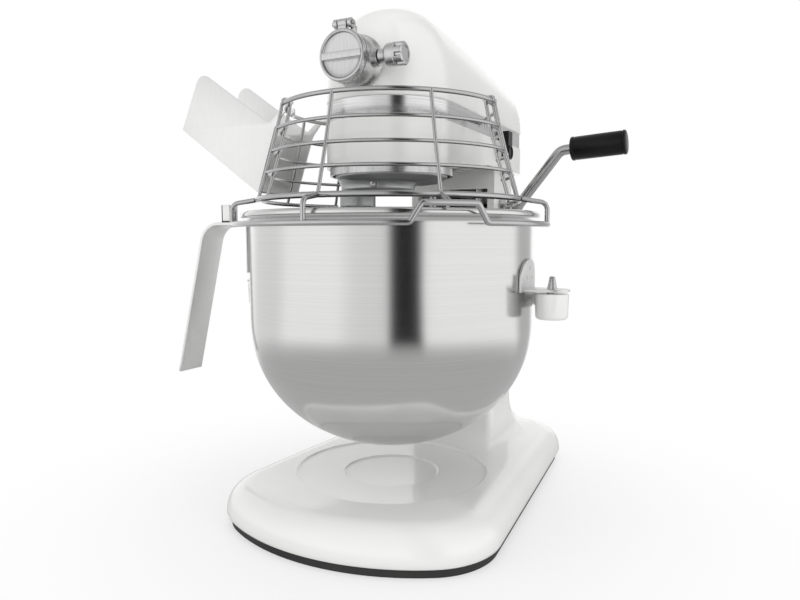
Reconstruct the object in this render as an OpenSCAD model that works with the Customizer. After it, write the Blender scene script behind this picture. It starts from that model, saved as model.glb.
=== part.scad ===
// Bench-top planetary mixer with a lifting bowl, a wire bowl guard and a pouring chute.
// Millimetres, +Z up, origin on the bench under the bowl's axis, front towards -Y.

/* [Bowl] */
// Outer radius of the bowl's wall
bowl_r = 118.5; // [112:0.5:121]
// Thickness of the bowl's wall
bowl_wall = 1.5; // [1:0.1:2.5]
// Height of the bowl's rim above the bench, bowl raised
bowl_rim_z = 254; // [250:0.5:256]
// Height of the bowl's lowest point, bowl raised
bowl_floor_z = 60; // [52:1:80]
// Depth of the rounded bottom
bowl_round = 108; // [90:1:116]
// Radius of the rolled rim
lip_r = 3; // [2:0.1:4]
// How far the bowl travels down
bowl_travel = 28; // [20:1:28]

/* [Bowl handle] */
// Width of the handle strap
strap_w = 30; // [20:1:40]
// Thickness of the handle strap
strap_t = 3; // [2:0.5:5]
// Reach of the strap's flat arm from the bowl's axis
handle_reach = 178; // [165:1:190]
// Length of the sloping grip
grip_len = 134; // [100:1:145]
// Outward slope of the grip from vertical, degrees
grip_slope = 14; // [6:1:18]

/* [Base] */
// Radius of the front corners
front_corner_r = 60; // [50:1:66]
// Half distance between the front corner centres
front_corner_x = 58; // [50:1:64]
// Place of the front corner centres, back from the bowl's axis
front_corner_y = -56; // [-64:1:-48]
// Radius of the bowed front edge
front_bow_r = 174; // [168:1:200]
// Radius of the rear corners
rear_corner_r = 49; // [40:1:56]
// Half distance between the rear corner centres
rear_corner_x = 53; // [46:1:58]
// Place of the rear corner centres, back from the bowl's axis
rear_corner_y = 182; // [176:1:190]
// Height of the base's top face
base_top = 33; // [30:1:40]
// Wall of the base casting
base_wall = 5; // [4:0.5:7]
// Height of the rubber strip under the base
strip_h = 6; // [4:0.5:9]
// Width of the rubber strip
strip_w = 11; // [7:0.5:14]
// Radius of the outer dish ring in the base's top
dish_r = 83; // [70:1:92]
// Depth of each dish step
dish_step = 1.6; // [1:0.1:2.2]

/* [Column] */
// Width of the column
column_w = 90; // [84:1:96]
// Front face of the column, back from the bowl's axis
column_front = 134; // [133:1:140]
// Rear face of the column
column_rear = 214; // [208:1:218]
// Wall of the column
column_wall = 6; // [4:0.5:8]
// Height of the joint between base and column
column_foot_z = 72; // [60:1:80]
// Height of the column's top
column_top_z = 300; // [298:0.5:302]
// Diameter of the yoke's guide rods
rod_d = 10; // [8:0.5:12]
// Distance between the guide rods
rod_gap = 52; // [46:1:54]

/* [Head] */
// Half width of the head, and the radius of its round front
head_r = 54; // [54:0.5:58]
// Rear face of the head
head_rear = 212; // [206:1:216]
// Wall of the head's shells
head_wall = 4; // [3:0.5:5]
// Lower face of the gearcase
gearcase_z = 290; // [289:0.5:291]
// Lower edge of the trim band
band_z = 326; // [324:0.5:328]
// Height of the trim band
band_h = 15; // [12:0.5:17]
// Thickness of the trim band
band_t = 1; // [0.6:0.1:1.5]
// Top of the head above the planetary
crown_z = 419; // [414:1:424]
// Top of the head at the rear
crown_rear_z = 393; // [388:1:398]

/* [Drive] */
// Distance from the planetary's axis to the beater's axis
orbit = 28.5; // [28.5]
// Gear module of the planetary drive
planet_mod = 1.5; // [1.5]
// Teeth of the planet pinion
pinion_teeth = 16; // [16]
// Gear module of the reduction gears
train_mod = 1.5; // [1.5]
// Teeth of the gear on the centre shaft
centre_teeth = 52; // [52]
// Teeth of the pinion that drives it
reduction_teeth = 24; // [24]
// Thinning of each tooth at its pitch line for backlash
backlash = 0.3; // [0.2:0.05:0.4]
// Pitch radius of the worm
worm_r = 6; // [5:0.5:7]
// Height of the motor's axis
motor_z = 350; // [348:1:352]
// Outer radius of the motor
motor_r = 34; // [30:1:36]
// Length of the motor's stator
motor_len = 70; // [50:1:76]
// Diameter of the centre shaft
centre_d = 16; // [14:0.5:18]
// Diameter of the beater shaft
beater_d = 12.5; // [12:0.1:13]
// Diameter of the cross pin in the beater shaft
cross_pin_d = 4; // [3:0.5:5]
// Length of the beater shaft below its boss
beater_reach = 27; // [22:1:34]

/* [Attachment hub] */
// Height of the hub's axis
hub_z = 366; // [364:1:368]
// Outer radius of the hub's barrel
hub_r = 19; // [18:0.5:20]
// Radius of the hub's bore
hub_bore_r = 14.5; // [13.5:0.5:15]
// Front face of the hub's barrel, forward of the planetary's axis
hub_front = 74; // [70:1:78]
// Thickness of the hinged cap
cap_t = 6; // [4:0.5:8]

/* [Guard] */
// Radius of the guard's base ring
guard_r = 112; // [108:0.5:112]
// Radius of the guard's top ring
guard_top_r = 92; // [88:0.5:94]
// Height of the base ring
guard_z = 263.5; // [263:0.5:266]
// Height of the top ring
guard_top_z = 338; // [332:0.5:342]
// Thickness of the cage wires
cage_wire = 2.8; // [2:0.1:3.5]
// Thickness of the base ring and the bumper wire
frame_wire = 4.5; // [3.5:0.1:5]
// Radius of the bumper wire round the rim
bumper_r = 131; // [130:0.5:134]
// Height of the bumper wire
bumper_z = 243.6; // [242:0.1:246]
// Height of the raised handhold in the bumper wire
handhold_h = 13; // [8:0.5:13]
// Angle at which the front guard starts, degrees round the bowl
guard_from = -131; // [-134:1:-126]
// Angle at which the front guard ends
guard_to = -3; // [-8:1:0]

/* [Lever] */
// Distance back from the bowl's axis to the lever's shaft
lever_y = 158; // [157:1:160]
// Height of the lever's shaft
lever_z = 262; // [260:0.5:264]
// Diameter of the lever's rod
lever_d = 10; // [8:0.5:11]
// Diameter of the black grip
lever_grip_d = 23; // [18:1:26]
// Length of the black grip
lever_grip_len = 52; // [44:1:60]
// Angle of the crank above level with the bowl up, and below level with it down
crank_up = 40; // [38:0.5:42]

/* [Fits] */
// Running clearance on a radius
running = 0.06; // [0.03:0.01:0.1]
// Clearance between parts that move past each other
clear = 0.5; // [0.4:0.05:0.8]
// Seat clearance at rest
seat = 0.3; // [0.3:0.05:0.5]

/* [Hidden] */
$fn = 96;

ring_teeth = pinion_teeth + 2 * orbit / planet_mod;
ring_r = ring_teeth * planet_mod / 2;
centre_r = centre_teeth * train_mod / 2;
reduction_r = reduction_teeth * train_mod / 2;
wheel_r = 26 - worm_r;
// Crank length that lifts the yoke by the bowl's travel
crank_r = bowl_travel / 2 / sin(crank_up);
slider_z = lever_z + crank_r * sin(crank_up);
idler_x = 26;
idler_y = sqrt(pow(centre_r + reduction_r, 2) - idler_x * idler_x);
idler_a = atan2(idler_y, idler_x);
// The planet sits opposite a tooth space of the ring gear
beater_a = 31 * 360 / ring_teeth;
bowl_in = bowl_r - bowl_wall;
rod_r = rod_d / 2;
rod_y = column_front + 12;
pad_x = bowl_r + 19.5;
pad_top = 191;
cover_z = band_z + band_h;
planet_top = gearcase_z - 1;
planet_r = 47;
boss_z = 258;
skirt_z = 271;
socket_r = 10;
flange_r = 12;
flange_end = head_r - 1;
journal_d = beater_d - 0.5;
hinge_y = -hub_front - 2;
hinge_z = hub_z + hub_r + 4;
cap_y = -hub_front - seat;
yoke_gap = bowl_r + 7;
arm_t = 12;
bar_front = yoke_gap + arm_t - 16.5;
open_rear = 42;
bead_over = 0.3;
rear_in = 5.2;
bolt_x = 12;
speed_y = 92;
switch_y = 150;
motor_y0 = 96;
switch_w = 14;
switch_h = 9;
switch_z = band_z + 3;
lever_t = 2;
slot_z = band_z + band_h / 2 - 1;
wire_sides = 8;
base_round = 22;
slice = 0.1;
shell_slice = 0.2;
chute_t = 1.5;
chute_half = 30;
chute_in = [-117, 272.6];
chute_low = [-203, 333];
hook_x = -sqrt(pow(guard_top_r - rear_in, 2) - chute_half * chute_half);
hook_z = guard_top_z + cage_wire / 2 + 0.2 + seat;
post_rise = 15;
stay_d = 2.6;
post_d = frame_wire - 0.7;
handhold_foot = 26;
handhold_top = 15;
handhold_mid = -45;
lever_out = [68, lever_y, 270.5];
lever_bend = [104, lever_y, 318];
bowl_steps = 20;
arm_z = bowl_rim_z - 2 * lip_r - 0.3;
bend_r = 22;
flange_w = 14;
pad_r = 13;
pin_r = 4;
planet_screw_r = 2.2;
window_w = 60;
window_h = 30;
window_z = cover_z + 4;
head_corner = 24;
column_corner = 26;
bush_r = 9;
gland_x = 24;
button_x = -20;
shaft_r = 6;
screw_r = 2;
screw_ys = [30, 150];
screw_x = head_r - 12;
gland_r = 5;
button_r = 4;
rear_z = band_z + 7;
speed_slot = 28;
bolt_r = 3;
bolt_ys = [column_front + 14, column_rear - 20];
foot_wall = 8;

// ---- helpers ----
function arc_pts(c, r, a0, a1, n) =
    [for (i = [0:n]) [c[0] + r * cos(a0 + (a1 - a0) * i / n), c[1] + r * sin(a0 + (a1 - a0) * i / n)]];
function mirror_x(p) = [for (i = [len(p) - 1:-1:0]) [-p[i][0], p[i][1]]];

// Outline of the base, shrunk evenly by d
function base_half(d) = let (
    gap = front_bow_r - front_corner_r,
    bow_y = front_corner_y + sqrt(gap * gap - front_corner_x * front_corner_x),
    bow_a = atan2(front_corner_y - bow_y, front_corner_x),
    side_a = asin((front_corner_r - rear_corner_r + front_corner_x - rear_corner_x)
        / (rear_corner_y - front_corner_y)))
    concat(arc_pts([0, bow_y], front_bow_r - d, -89.5, bow_a, 10),
        arc_pts([front_corner_x, front_corner_y], front_corner_r - d, bow_a + 4, side_a, 14),
        arc_pts([rear_corner_x, rear_corner_y], rear_corner_r - d, side_a, 90, 14));
module base_outline(d) polygon(concat(base_half(d), mirror_x(base_half(d))));

// Outline of the head, a round front with straight sides and rounded rear corners
module head_outline(d, rear = head_rear) {
    r = head_r - d;
    circle(r);
    translate([-r, 0]) square([2 * r, rear - head_corner - d]);
    for (s = [-1, 1]) translate([s * (head_r - head_corner), rear - head_corner]) circle(head_corner - d);
    translate([head_corner - head_r, 0]) square([2 * (head_r - head_corner), rear - d]);
}

// Outline of the column
module column_outline(d) {
    translate([-column_w / 2 + d, column_front + d])
        square([column_w - 2 * d, column_rear - column_front - column_corner - d]);
    for (s = [-1, 1]) translate([s * (column_w / 2 - column_corner), column_rear - column_corner])
        circle(column_corner - d);
    translate([-column_w / 2 + column_corner, column_front + d])
        square([column_w - 2 * column_corner, column_rear - column_front - 2 * d]);
}

// Involute gear outline; the tooth at angle 0 points along +X
function inv(a) = tan(a) * 180 / PI - a;
function gear_pts(z, m, thin, add, ded, pa = 20) = let (
    rp = z * m / 2,
    rb = rp * cos(pa),
    ra = rp + add,
    rf = rp - ded,
    half = 90 / z - thin * 90 / PI / rp,
    r0 = max(rb, rf),
    n = 4)
    [for (t = [0:z - 1], s = [-1, 1], i = [0:n + 1])
        let (k = s < 0 ? i : n + 1 - i, r = k == 0 ? rf : r0 + (ra - r0) * (k - 1) / n,
            q = max(r, rb), a = half + inv(pa) - inv(acos(min(1, rb / q))))
        [r * cos(t * 360 / z + s * a), r * sin(t * 360 / z + s * a)]];
module gear(z, m, h, thin = backlash / 2) linear_extrude(h)
    polygon(gear_pts(z, m, thin, m * 0.95, m * 1.2));

// A wire bent round the bowl's axis
module arc_wire(r, z, d, a0, a1) rotate([0, 0, a0]) rotate_extrude(angle = a1 - a0)
    translate([r, z]) circle(d / 2, $fn = wire_sides);
// A straight wire between two points
module wire(p, q, d) let (v = q - p) translate(p)
    rotate([0, acos(v[2] / norm(v)), atan2(v[1], v[0])]) cylinder(d = d, h = norm(v), $fn = wire_sides);
// A bend or weld, a little fatter than the wires it joins
module bead(p, d) translate(p - [0, 0, d / 2 + bead_over])
    cylinder(d = d + 2 * bead_over, h = d + 2 * bead_over);
function polar(r, a, z) = [r * cos(a), r * sin(a), z];
// Radius of the guard's dome at a height
function dome_r(z) = guard_top_r + (guard_r - guard_top_r)
    * pow((guard_top_z - z) / (guard_top_z - guard_z), 1.15);
dome_z = [guard_z, guard_z + 20.5, guard_z + 37.5, guard_z + 55.5, guard_top_z];
// A rib of the dome at one angle
module dome_rib(a, inset = 0) rotate([0, 0, a]) rotate([90, 0, 0])
    translate([-inset, 0, -cage_wire / 2]) linear_extrude(cage_wire) polygon(concat(
        [for (z = dome_z) [dome_r(z) - cage_wire / 2, z]],
        [for (i = [4:-1:0]) [dome_r(dome_z[i]) + cage_wire / 2, dome_z[i]]]));

// ---- base and column ----
// A slice of the pedestal, wider than the column by side and longer in front by fore
module pedestal_slice(z, side, fore) translate([-column_w / 2 - side, column_front - fore, z])
    cube([column_w + 2 * side, column_rear - column_front + fore - (side > 0 ? 2 : 0), 1]);
module base_casting() color("white") difference() {
    union() {
        hull() for (i = [0:5]) let (a = i * 18)
            translate([0, 0, strip_h + (base_top - strip_h) * (0.35 + 0.65 * sin(a)) - (i == 5 ? slice : 0)])
                linear_extrude(slice) base_outline(base_round * (1 - cos(a)));
        translate([0, 0, strip_h]) linear_extrude((base_top - strip_h) * 0.35 + 0.55) base_outline(0);
        hull() {
            pedestal_slice(base_top - 4, 29, 18);
            pedestal_slice(base_top + 17, 7, 6);
        }
        hull() {
            pedestal_slice(base_top + 17, 7, 6);
            pedestal_slice(column_foot_z - 1, 0, 0);
        }
    }
    translate([0, 0, base_top - dish_step]) cylinder(r = dish_r, h = 9);
    translate([0, 0, base_top - 2 * dish_step]) cylinder(r = dish_r / 2, h = 9);
    difference() {
        translate([0, 0, -1]) linear_extrude(base_top - 3 * dish_step - base_wall + 2) base_outline(24);
        for (x = [-40, 40]) translate([x, column_front - 8, -2]) cube([6, 90, 60]);
    }
    translate([-column_w / 2 + foot_wall, column_front + foot_wall, 0])
        cube([column_w - 2 * foot_wall, column_rear - column_front - 30, column_foot_z - 10]);
    for (x = [-bolt_x, bolt_x], y = bolt_ys)
        translate([x, y, column_foot_z - 12]) cylinder(r = bolt_r + running, h = 20, $fn = 32);
}
module base_foot_strip() color("dimgray") linear_extrude(strip_h) difference() {
    base_outline(4);
    base_outline(4 + strip_w);
}
module column_casting() color("white") difference() {
    translate([0, 0, column_foot_z]) linear_extrude(column_top_z - column_foot_z) column_outline(0);
    translate([0, 0, column_foot_z + 8]) linear_extrude(column_top_z) column_outline(column_wall);
    // slot in the front for the yoke
    translate([-38, column_front - 1, 92]) cube([76, column_wall + 2, column_top_z - 92 - 18]);
    for (x = [-rod_gap / 2, rod_gap / 2])
        translate([x, rod_y, column_foot_z + 3]) cylinder(r = rod_r + running, h = 9);
    for (x = [-bolt_x, bolt_x], y = bolt_ys)
        translate([x, y, column_foot_z - 1]) cylinder(r = bolt_r + running, h = 12, $fn = 32);
    translate([column_w / 2 - column_wall - 1, lever_y, lever_z]) rotate([0, 90, 0])
        cylinder(r = bush_r, h = column_wall + 2);
}
module column_bolts() color("silver") for (x = [-bolt_x, bolt_x], y = bolt_ys)
    translate([x, y, column_foot_z - 10]) {
        cylinder(r = bolt_r, h = 18, $fn = 32);
        translate([0, 0, 18]) cylinder(r = 5.5, h = 5, $fn = 6);
    }
module guide_rods() color("silver") for (x = [-rod_gap / 2, rod_gap / 2])
    translate([x, rod_y, column_foot_z + 3]) cylinder(r = rod_r, h = column_top_z - column_foot_z - 3);

// ---- head ----
// Slots for the speed lever and the power switch, cut deep into the head's side
module side_slots(deep) {
    translate([-head_r - 3, speed_y - speed_slot / 2, slot_z - seat])
        cube([deep, speed_slot, lever_t + 2 * seat]);
    translate([-head_r - 3, switch_y - switch_w / 2 - 0.9, switch_z - seat])
        cube([deep, switch_w + 1.8, switch_h + 2 * seat]);
}
module gearcase() color("white") difference() {
    union() {
        translate([0, 0, gearcase_z]) linear_extrude(column_top_z - gearcase_z) circle(head_r);
        hull() {
            translate([0, 0, gearcase_z]) cylinder(r = head_r, h = 1);
            translate([-head_r, 0, column_top_z]) cube([2 * head_r, 90, 1]);
        }
        translate([0, 0, column_top_z]) linear_extrude(band_z - column_top_z) head_outline(0);
        translate([0, 0, band_z]) linear_extrude(band_h) head_outline(band_t + 0.2);
    }
    // gear chamber
    translate([0, 0, gearcase_z + 28]) linear_extrude(99) head_outline(head_wall + 1);
    // planet chamber, open below
    translate([0, 0, gearcase_z - 1]) cylinder(r = ring_r + 6, h = 18);
    // bearing seat of the centre shaft
    cylinder(r = 12 + running, h = 400);
    translate([idler_x, idler_y, gearcase_z + 20]) cylinder(r = 8 + running, h = 40);
    // column opening and motor bay
    translate([0, 0, column_top_z - 1]) linear_extrude(60) column_outline(column_wall + 2);
    translate([0, motor_y0, motor_z]) rotate([-90, 0, 0]) cylinder(r = motor_r + 0.6, h = 99);
    // holes for the screws and the controls
    for (s = [-1, 1], y = screw_ys) translate([s * screw_x, y, gearcase_z + 12])
        cylinder(r = screw_r + running, h = 30, $fn = 32);
    side_slots(16);
    translate([gland_x, head_rear - 20, rear_z]) rotate([-90, 0, 0]) cylinder(r = gland_r + running, h = 60);
    translate([button_x, head_rear - 20, rear_z]) rotate([-90, 0, 0]) cylinder(r = button_r + clear, h = 60);
}
module trim_band() color("silver") difference() {
    translate([0, 0, band_z]) linear_extrude(band_h) head_outline(0);
    translate([0, 0, band_z - 1]) linear_extrude(band_h + 2) head_outline(band_t + 0.2);
    // back of the head is left open
    translate([-99, head_rear - 26, band_z - 1]) cube([198, 60, band_h + 2]);
    // air slots on the lever's side
    for (i = [0:4]) translate([head_r - 3, 62 + i * 7, band_z + 5]) cube([6, 4, 5]);
    side_slots(8);
}
// Height of the head's top along its length
function crown(y) = crown_z - (crown_z - crown_rear_z) * pow(max(0, y - 10) / (head_rear - 10), 1.4);
// Height of one of the head's slices, where the head's top is at top and the slice at angle a
function shell_z(top, d, a) = cover_z + (top - d - cover_z - shell_slice) * (0.12 + 0.88 * sin(a));
module head_shell(d) hull() for (i = [0:6])
    let (a = i * 15, w = head_r * 0.62 * (1 - cos(a)) + d, corner = max(head_corner - w / 2, 8)) {
        translate([0, 0, shell_z(crown(20), d, a)])
            cylinder(r = max(head_r - w, 6), h = shell_slice, $fn = 48);
        for (s = [-1, 1])
            translate([s * max(head_r - w - corner, 0), head_rear - w * 0.8 - corner,
                shell_z(crown(head_rear), d, a)]) cylinder(r = corner, h = shell_slice, $fn = 32);
        if (i == 0) translate([0, 0, cover_z]) linear_extrude(shell_slice) head_outline(d);
    }
module head_cover() color("white") difference() {
    head_shell(0);
    translate([0, 0, -0.7]) head_shell(head_wall);
    // seat of the hub's barrel
    translate([0, 0, hub_z]) rotate([90, 0, 0]) cylinder(r = hub_r - 2, h = 90);
    // opening behind, closed by the rear cover
    translate([-window_w / 2, head_rear - 20, window_z]) cube([window_w, 60, window_h]);
}
module rear_cover() color("white") difference() {
    translate([-window_w / 2 + seat, head_rear - 7.5, window_z + seat])
        cube([window_w - 2 * seat, 3, window_h - 2 * seat]);
    for (i = [0:4]) translate([-20, head_rear - 20, cover_z + 8 + i * 5]) cube([40, 40, 2]);
}
module head_screws() color("silver") for (s = [-1, 1], y = screw_ys)
    translate([s * screw_x, y, gearcase_z + 12]) cylinder(r = screw_r, h = 8, $fn = 24);

// ---- drive ----
module ring_gear() color("gray") translate([0, 0, gearcase_z + 2]) difference() {
    cylinder(r = ring_r + 6 - 0.05, h = 13);
    translate([0, 0, -1]) linear_extrude(15)
        polygon(gear_pts(ring_teeth, planet_mod, -backlash / 2, planet_mod * 1.2, planet_mod * 0.95));
}
module drip_ring() color("silver") translate([0, 0, gearcase_z - 6]) difference() {
    cylinder(r = planet_r + 4.5, h = 6);
    translate([0, 0, -1]) cylinder(r = planet_r + 2.5, h = 8);
}
module shaft_bearings() color("silver") {
    translate([0, 0, gearcase_z + 17.5]) difference() {
        cylinder(r = 12, h = 9);
        translate([0, 0, -1]) cylinder(r = centre_d / 2 + running, h = 12);
    }
    translate([idler_x, idler_y, gearcase_z + 21]) difference() {
        cylinder(r = 8, h = 6);
        translate([0, 0, -1]) cylinder(r = 4 + running, h = 9);
    }
    for (y = [motor_y0 - 12, motor_y0 + motor_len + 6])
        translate([0, y, motor_z]) rotate([-90, 0, 0]) difference() {
            cylinder(r = 11, h = 6);
            translate([0, 0, -1]) cylinder(r = 4 + running, h = 9);
        }
}
module centre_shaft() color("silver") {
    translate([0, 0, planet_top - 8]) cylinder(d = centre_d, h = hub_z - 20 - planet_top + 8);
    translate([0, 0, gearcase_z + 30]) gear(centre_teeth, train_mod, 10);
    // bevel gear for the hub
    translate([0, 0, hub_z - 20]) cylinder(r = 13.6, h = 6);
    translate([0, 0, hub_z - 14]) cylinder(r1 = 13.6, r2 = 7.6, h = 6);
}
module planetary() color("silver") difference() {
    union() {
        translate([0, 0, planet_top - 6]) cylinder(r = planet_r, h = 6);
        translate([0, 0, planet_top - 10]) cylinder(r1 = planet_r - 8, r2 = planet_r, h = 4);
        rotate([0, 0, beater_a]) translate([orbit / 2 - 3, 0, skirt_z])
            cylinder(r = 31, h = planet_top - 8 - skirt_z);
        rotate([0, 0, beater_a]) translate([orbit, 0, boss_z]) cylinder(r = 15, h = 20);
    }
    translate([0, 0, planet_top - 8]) cylinder(d = centre_d, h = 20);
    rotate([0, 0, beater_a]) translate([orbit, 0, 200]) cylinder(d = journal_d + 2 * running, h = 120);
    planet_screw_places() cylinder(r = planet_screw_r, h = 9, $fn = 24);
}
module planet_screw_places() for (a = [-62, -28])
    rotate([0, 0, a]) translate([planet_r - 12, 0, planet_top - 3]) children();
module planet_screws() color("gray") planet_screw_places() cylinder(r = planet_screw_r, h = 3.4, $fn = 24);
module planet_pinion() color("gray") rotate([0, 0, beater_a]) translate([orbit, 0, gearcase_z + 2.5])
    difference() {
        gear(pinion_teeth, planet_mod, 12);
        translate([0, 0, -1]) cylinder(d = journal_d, h = 20);
    }
module beater_shaft() color("silver") rotate([0, 0, beater_a]) translate([orbit, 0, 0]) difference() {
    union() {
        translate([0, 0, boss_z - beater_reach]) cylinder(d = beater_d, h = beater_reach - 8);
        translate([0, 0, boss_z - 8]) cylinder(d = journal_d, h = gearcase_z + 14.5 - boss_z + 8);
    }
    translate([-20, 0, boss_z - 5]) rotate([0, 90, 0]) cylinder(d = cross_pin_d, h = 40, $fn = 32);
}
module cross_pin() color("silver") rotate([0, 0, beater_a]) translate([orbit - 10, 0, boss_z - 5])
    rotate([0, 90, 0]) cylinder(d = cross_pin_d, h = 20, $fn = 32);
module reduction_shaft() color("gray") translate([idler_x, idler_y, 0]) {
    translate([0, 0, gearcase_z + 20]) cylinder(r = 4, h = 49);
    rotate([0, 0, idler_a + 180 + 180 / reduction_teeth * centre_phase()])
        translate([0, 0, gearcase_z + 30]) gear(reduction_teeth, train_mod, 10);
    translate([0, 0, motor_z - 6]) cylinder(r = wheel_r - seat, h = 12);
}
// Turn of the reduction pinion that puts its gap opposite the centre gear's nearest tooth
function centre_phase() = let (t = idler_a * centre_teeth / 360) 1 + 2 * (t - floor(t));
module motor_stator() color("dimgray") translate([0, motor_y0, motor_z]) rotate([-90, 0, 0]) difference() {
    cylinder(r = motor_r, h = motor_len);
    translate([0, 0, -1]) cylinder(r = motor_r - 13, h = motor_len + 2);
}
module motor_rotor() color("sienna") translate([0, 0, motor_z]) rotate([-90, 0, 0]) {
    translate([0, 0, idler_y - 16]) cylinder(r = 4, h = motor_y0 + motor_len + 30 - idler_y + 16 - 10);
    translate([0, 0, idler_y - 14]) cylinder(r = worm_r, h = 28);
    translate([0, 0, motor_y0 + 4]) cylinder(r = motor_r - 13.6, h = motor_len - 12);
}
module motor_fan() color("dimgray") translate([0, motor_y0 + motor_len + 14, motor_z]) rotate([-90, 0, 0])
    difference() {
        union() {
            cylinder(r = 10, h = 5);
            for (i = [0:8]) rotate([0, 0, i * 40]) translate([8, -0.75, 0]) cube([18, 1.5, 5]);
        }
        translate([0, 0, -1]) cylinder(r = 4, h = 9);
    }
module brush_holders() color("goldenrod") for (s = [-1, 1])
    translate([s * (motor_r - 13 + 6) - 5.5, motor_y0 - 8, motor_z - 4]) cube([11, 8, 8]);
module control_board() color("green") translate([-25, head_rear - head_wall - 7, gearcase_z + 31]) {
    cube([50, 2, 22]);
    for (x = [4, 46], z = [3, 19])
        translate([x, 2, z]) rotate([-90, 0, 0]) cylinder(r = 1.5, h = 4, $fn = 24);
}
module cord_gland() color("dimgray") translate([gland_x, head_rear + 6, rear_z]) rotate([90, 0, 0])
    difference() {
        union() {
            cylinder(r = gland_r + 2, h = 6);
            cylinder(r = gland_r, h = 12);
        }
        translate([0, 0, -1]) cylinder(r = 3, h = 16);
    }

// ---- attachment hub ----
module hub_barrel() color("silver") translate([0, 0, hub_z]) rotate([90, 0, 0]) difference() {
    union() {
        translate([0, 0, head_r - 9]) cylinder(r = hub_r - 2, h = hub_front - head_r + 9);
        translate([0, 0, head_r + 2]) cylinder(r = hub_r, h = hub_front - head_r - 2);
        // hinge ears
        for (x = [-7.5, 4.5]) translate([x, hub_r - 3, hub_front - 6])
            cube([3, hinge_z - hub_z - hub_r + 6, 6]);
        // boss of the clamping knob
        translate([0, 0, hub_front - 11]) rotate([0, 90, 0]) cylinder(r = 7, h = hub_r + 4);
    }
    cylinder(r = flange_r + running, h = 200);
    translate([0, 0, flange_end]) cylinder(r = hub_bore_r, h = 200);
    translate([0, 0, hub_front - 11]) rotate([0, 90, 0]) cylinder(r = 3 + running, h = 60);
    translate([-20, hinge_z - hub_z, -hinge_y]) rotate([0, 90, 0]) cylinder(r = 1.6, h = 40, $fn = 32);
}
module hub_drive() color("gray") translate([0, 0, hub_z]) rotate([90, 0, 0]) difference() {
    union() {
        translate([0, 0, 8]) cylinder(r1 = 7.6, r2 = 13.6, h = 6);
        translate([0, 0, 14]) cylinder(r = 13.6, h = 4);
        translate([0, 0, 18]) cylinder(r = socket_r, h = head_r - 24);
        translate([0, 0, head_r - 8]) cylinder(r = flange_r, h = flange_end - seat - head_r + 8);
    }
    translate([-6.35, -6.35, head_r - 22]) cube([12.7, 12.7, 30]);
}
module hub_cap() color("silver") difference() {
    union() {
        translate([0, cap_y, hub_z]) rotate([90, 0, 0]) cylinder(r = hub_r, h = cap_t);
        translate([-3.5, cap_y - 4, hub_z + hub_r - 3]) cube([7, 4, hinge_z - hub_z - hub_r + 3]);
        translate([-3.5, hinge_y, hinge_z]) rotate([0, 90, 0]) cylinder(r = 3.4, h = 7);
        translate([-hub_r + 3, cap_y - cap_t - 0.6, hub_z - 2.6]) cube([2 * hub_r - 6, 3, 5.2]);
    }
    translate([0, cap_y - cap_t + 1.8, hub_z]) rotate([90, 0, 0]) difference() {
        cylinder(r = hub_r - 3, h = 5);
        translate([-hub_r, -2.6, -1]) cube([2 * hub_r, 5.2, 9]);
    }
    translate([-20, hinge_y, hinge_z]) rotate([0, 90, 0]) cylinder(r = 1.6 + running, h = 40, $fn = 32);
}
module hub_hinge_pin() color("silver") translate([-9, hinge_y, hinge_z]) rotate([0, 90, 0])
    cylinder(r = 1.6, h = 18, $fn = 32);
module hub_knob() color("silver") translate([0, -hub_front + 11, hub_z]) rotate([0, 90, 0]) {
    translate([0, 0, hub_bore_r + 0.5]) cylinder(r = 3, h = 20);
    translate([0, 0, hub_r + 4 + seat]) cylinder(r1 = 5, r2 = 4.5, h = 6);
    translate([0, 0, hub_r + 10]) difference() {
        cylinder(r = 8.5, h = 15);
        for (i = [0:11]) rotate([0, 0, i * 30]) translate([9.2, 0, -1]) cylinder(r = 1.5, h = 20, $fn = 16);
    }
}

// ---- bowl lift ----
module bowl_support() color("white") difference() {
    union() {
        // arms round the bowl
        translate([0, 0, pad_top - 20]) difference() {
            cylinder(r = yoke_gap + arm_t, h = 14);
            translate([0, 0, -1]) cylinder(r = yoke_gap, h = 20);
            translate([-300, -300, -1]) cube([600, 300, 30]);
            translate([-300, column_front - clear - 3, -1]) cube([600, 300, 30]);
        }
        for (s = [-1, 1]) translate([s * pad_x, 0, pad_top - 20]) cylinder(r = pad_r, h = 20);
        // crossbar in front of the column
        difference() {
            translate([-44, bar_front, pad_top - 30]) cube([88, column_front - 4 - bar_front, 50]);
            translate([0, 0, pad_top - 40]) cylinder(r = yoke_gap, h = 90);
        }
        // carriage on the guide rods
        translate([-33, column_front - 6, pad_top - 26]) cube([66, 24, 44]);
    }
    for (x = [-rod_gap / 2, rod_gap / 2]) translate([x, rod_y, 0]) cylinder(r = rod_r + running, h = 400);
    for (s = [-1, 1]) translate([s * pad_x, 0, pad_top - 15]) cylinder(r = pin_r, h = 20);
}
module locating_pins() color("silver") for (s = [-1, 1]) translate([s * pad_x, 0, pad_top - 15]) {
    cylinder(r = pin_r, h = 17.2);
    translate([0, 0, 17.2]) cylinder(r1 = pin_r, r2 = 2, h = 10.8);
}
module yoke_slider() color("silver") difference() {
    translate([-14, column_front + 18, pad_top - 10])
        cube([4, lever_y + crank_r + 8 - column_front - 18, slider_z + 20 - pad_top]);
    translate([-15, lever_y + crank_r * cos(crank_up) - 6, slider_z - 3.8])
        cube([6, crank_r * (1 - cos(crank_up)) + 12, 7.6]);
}
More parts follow.
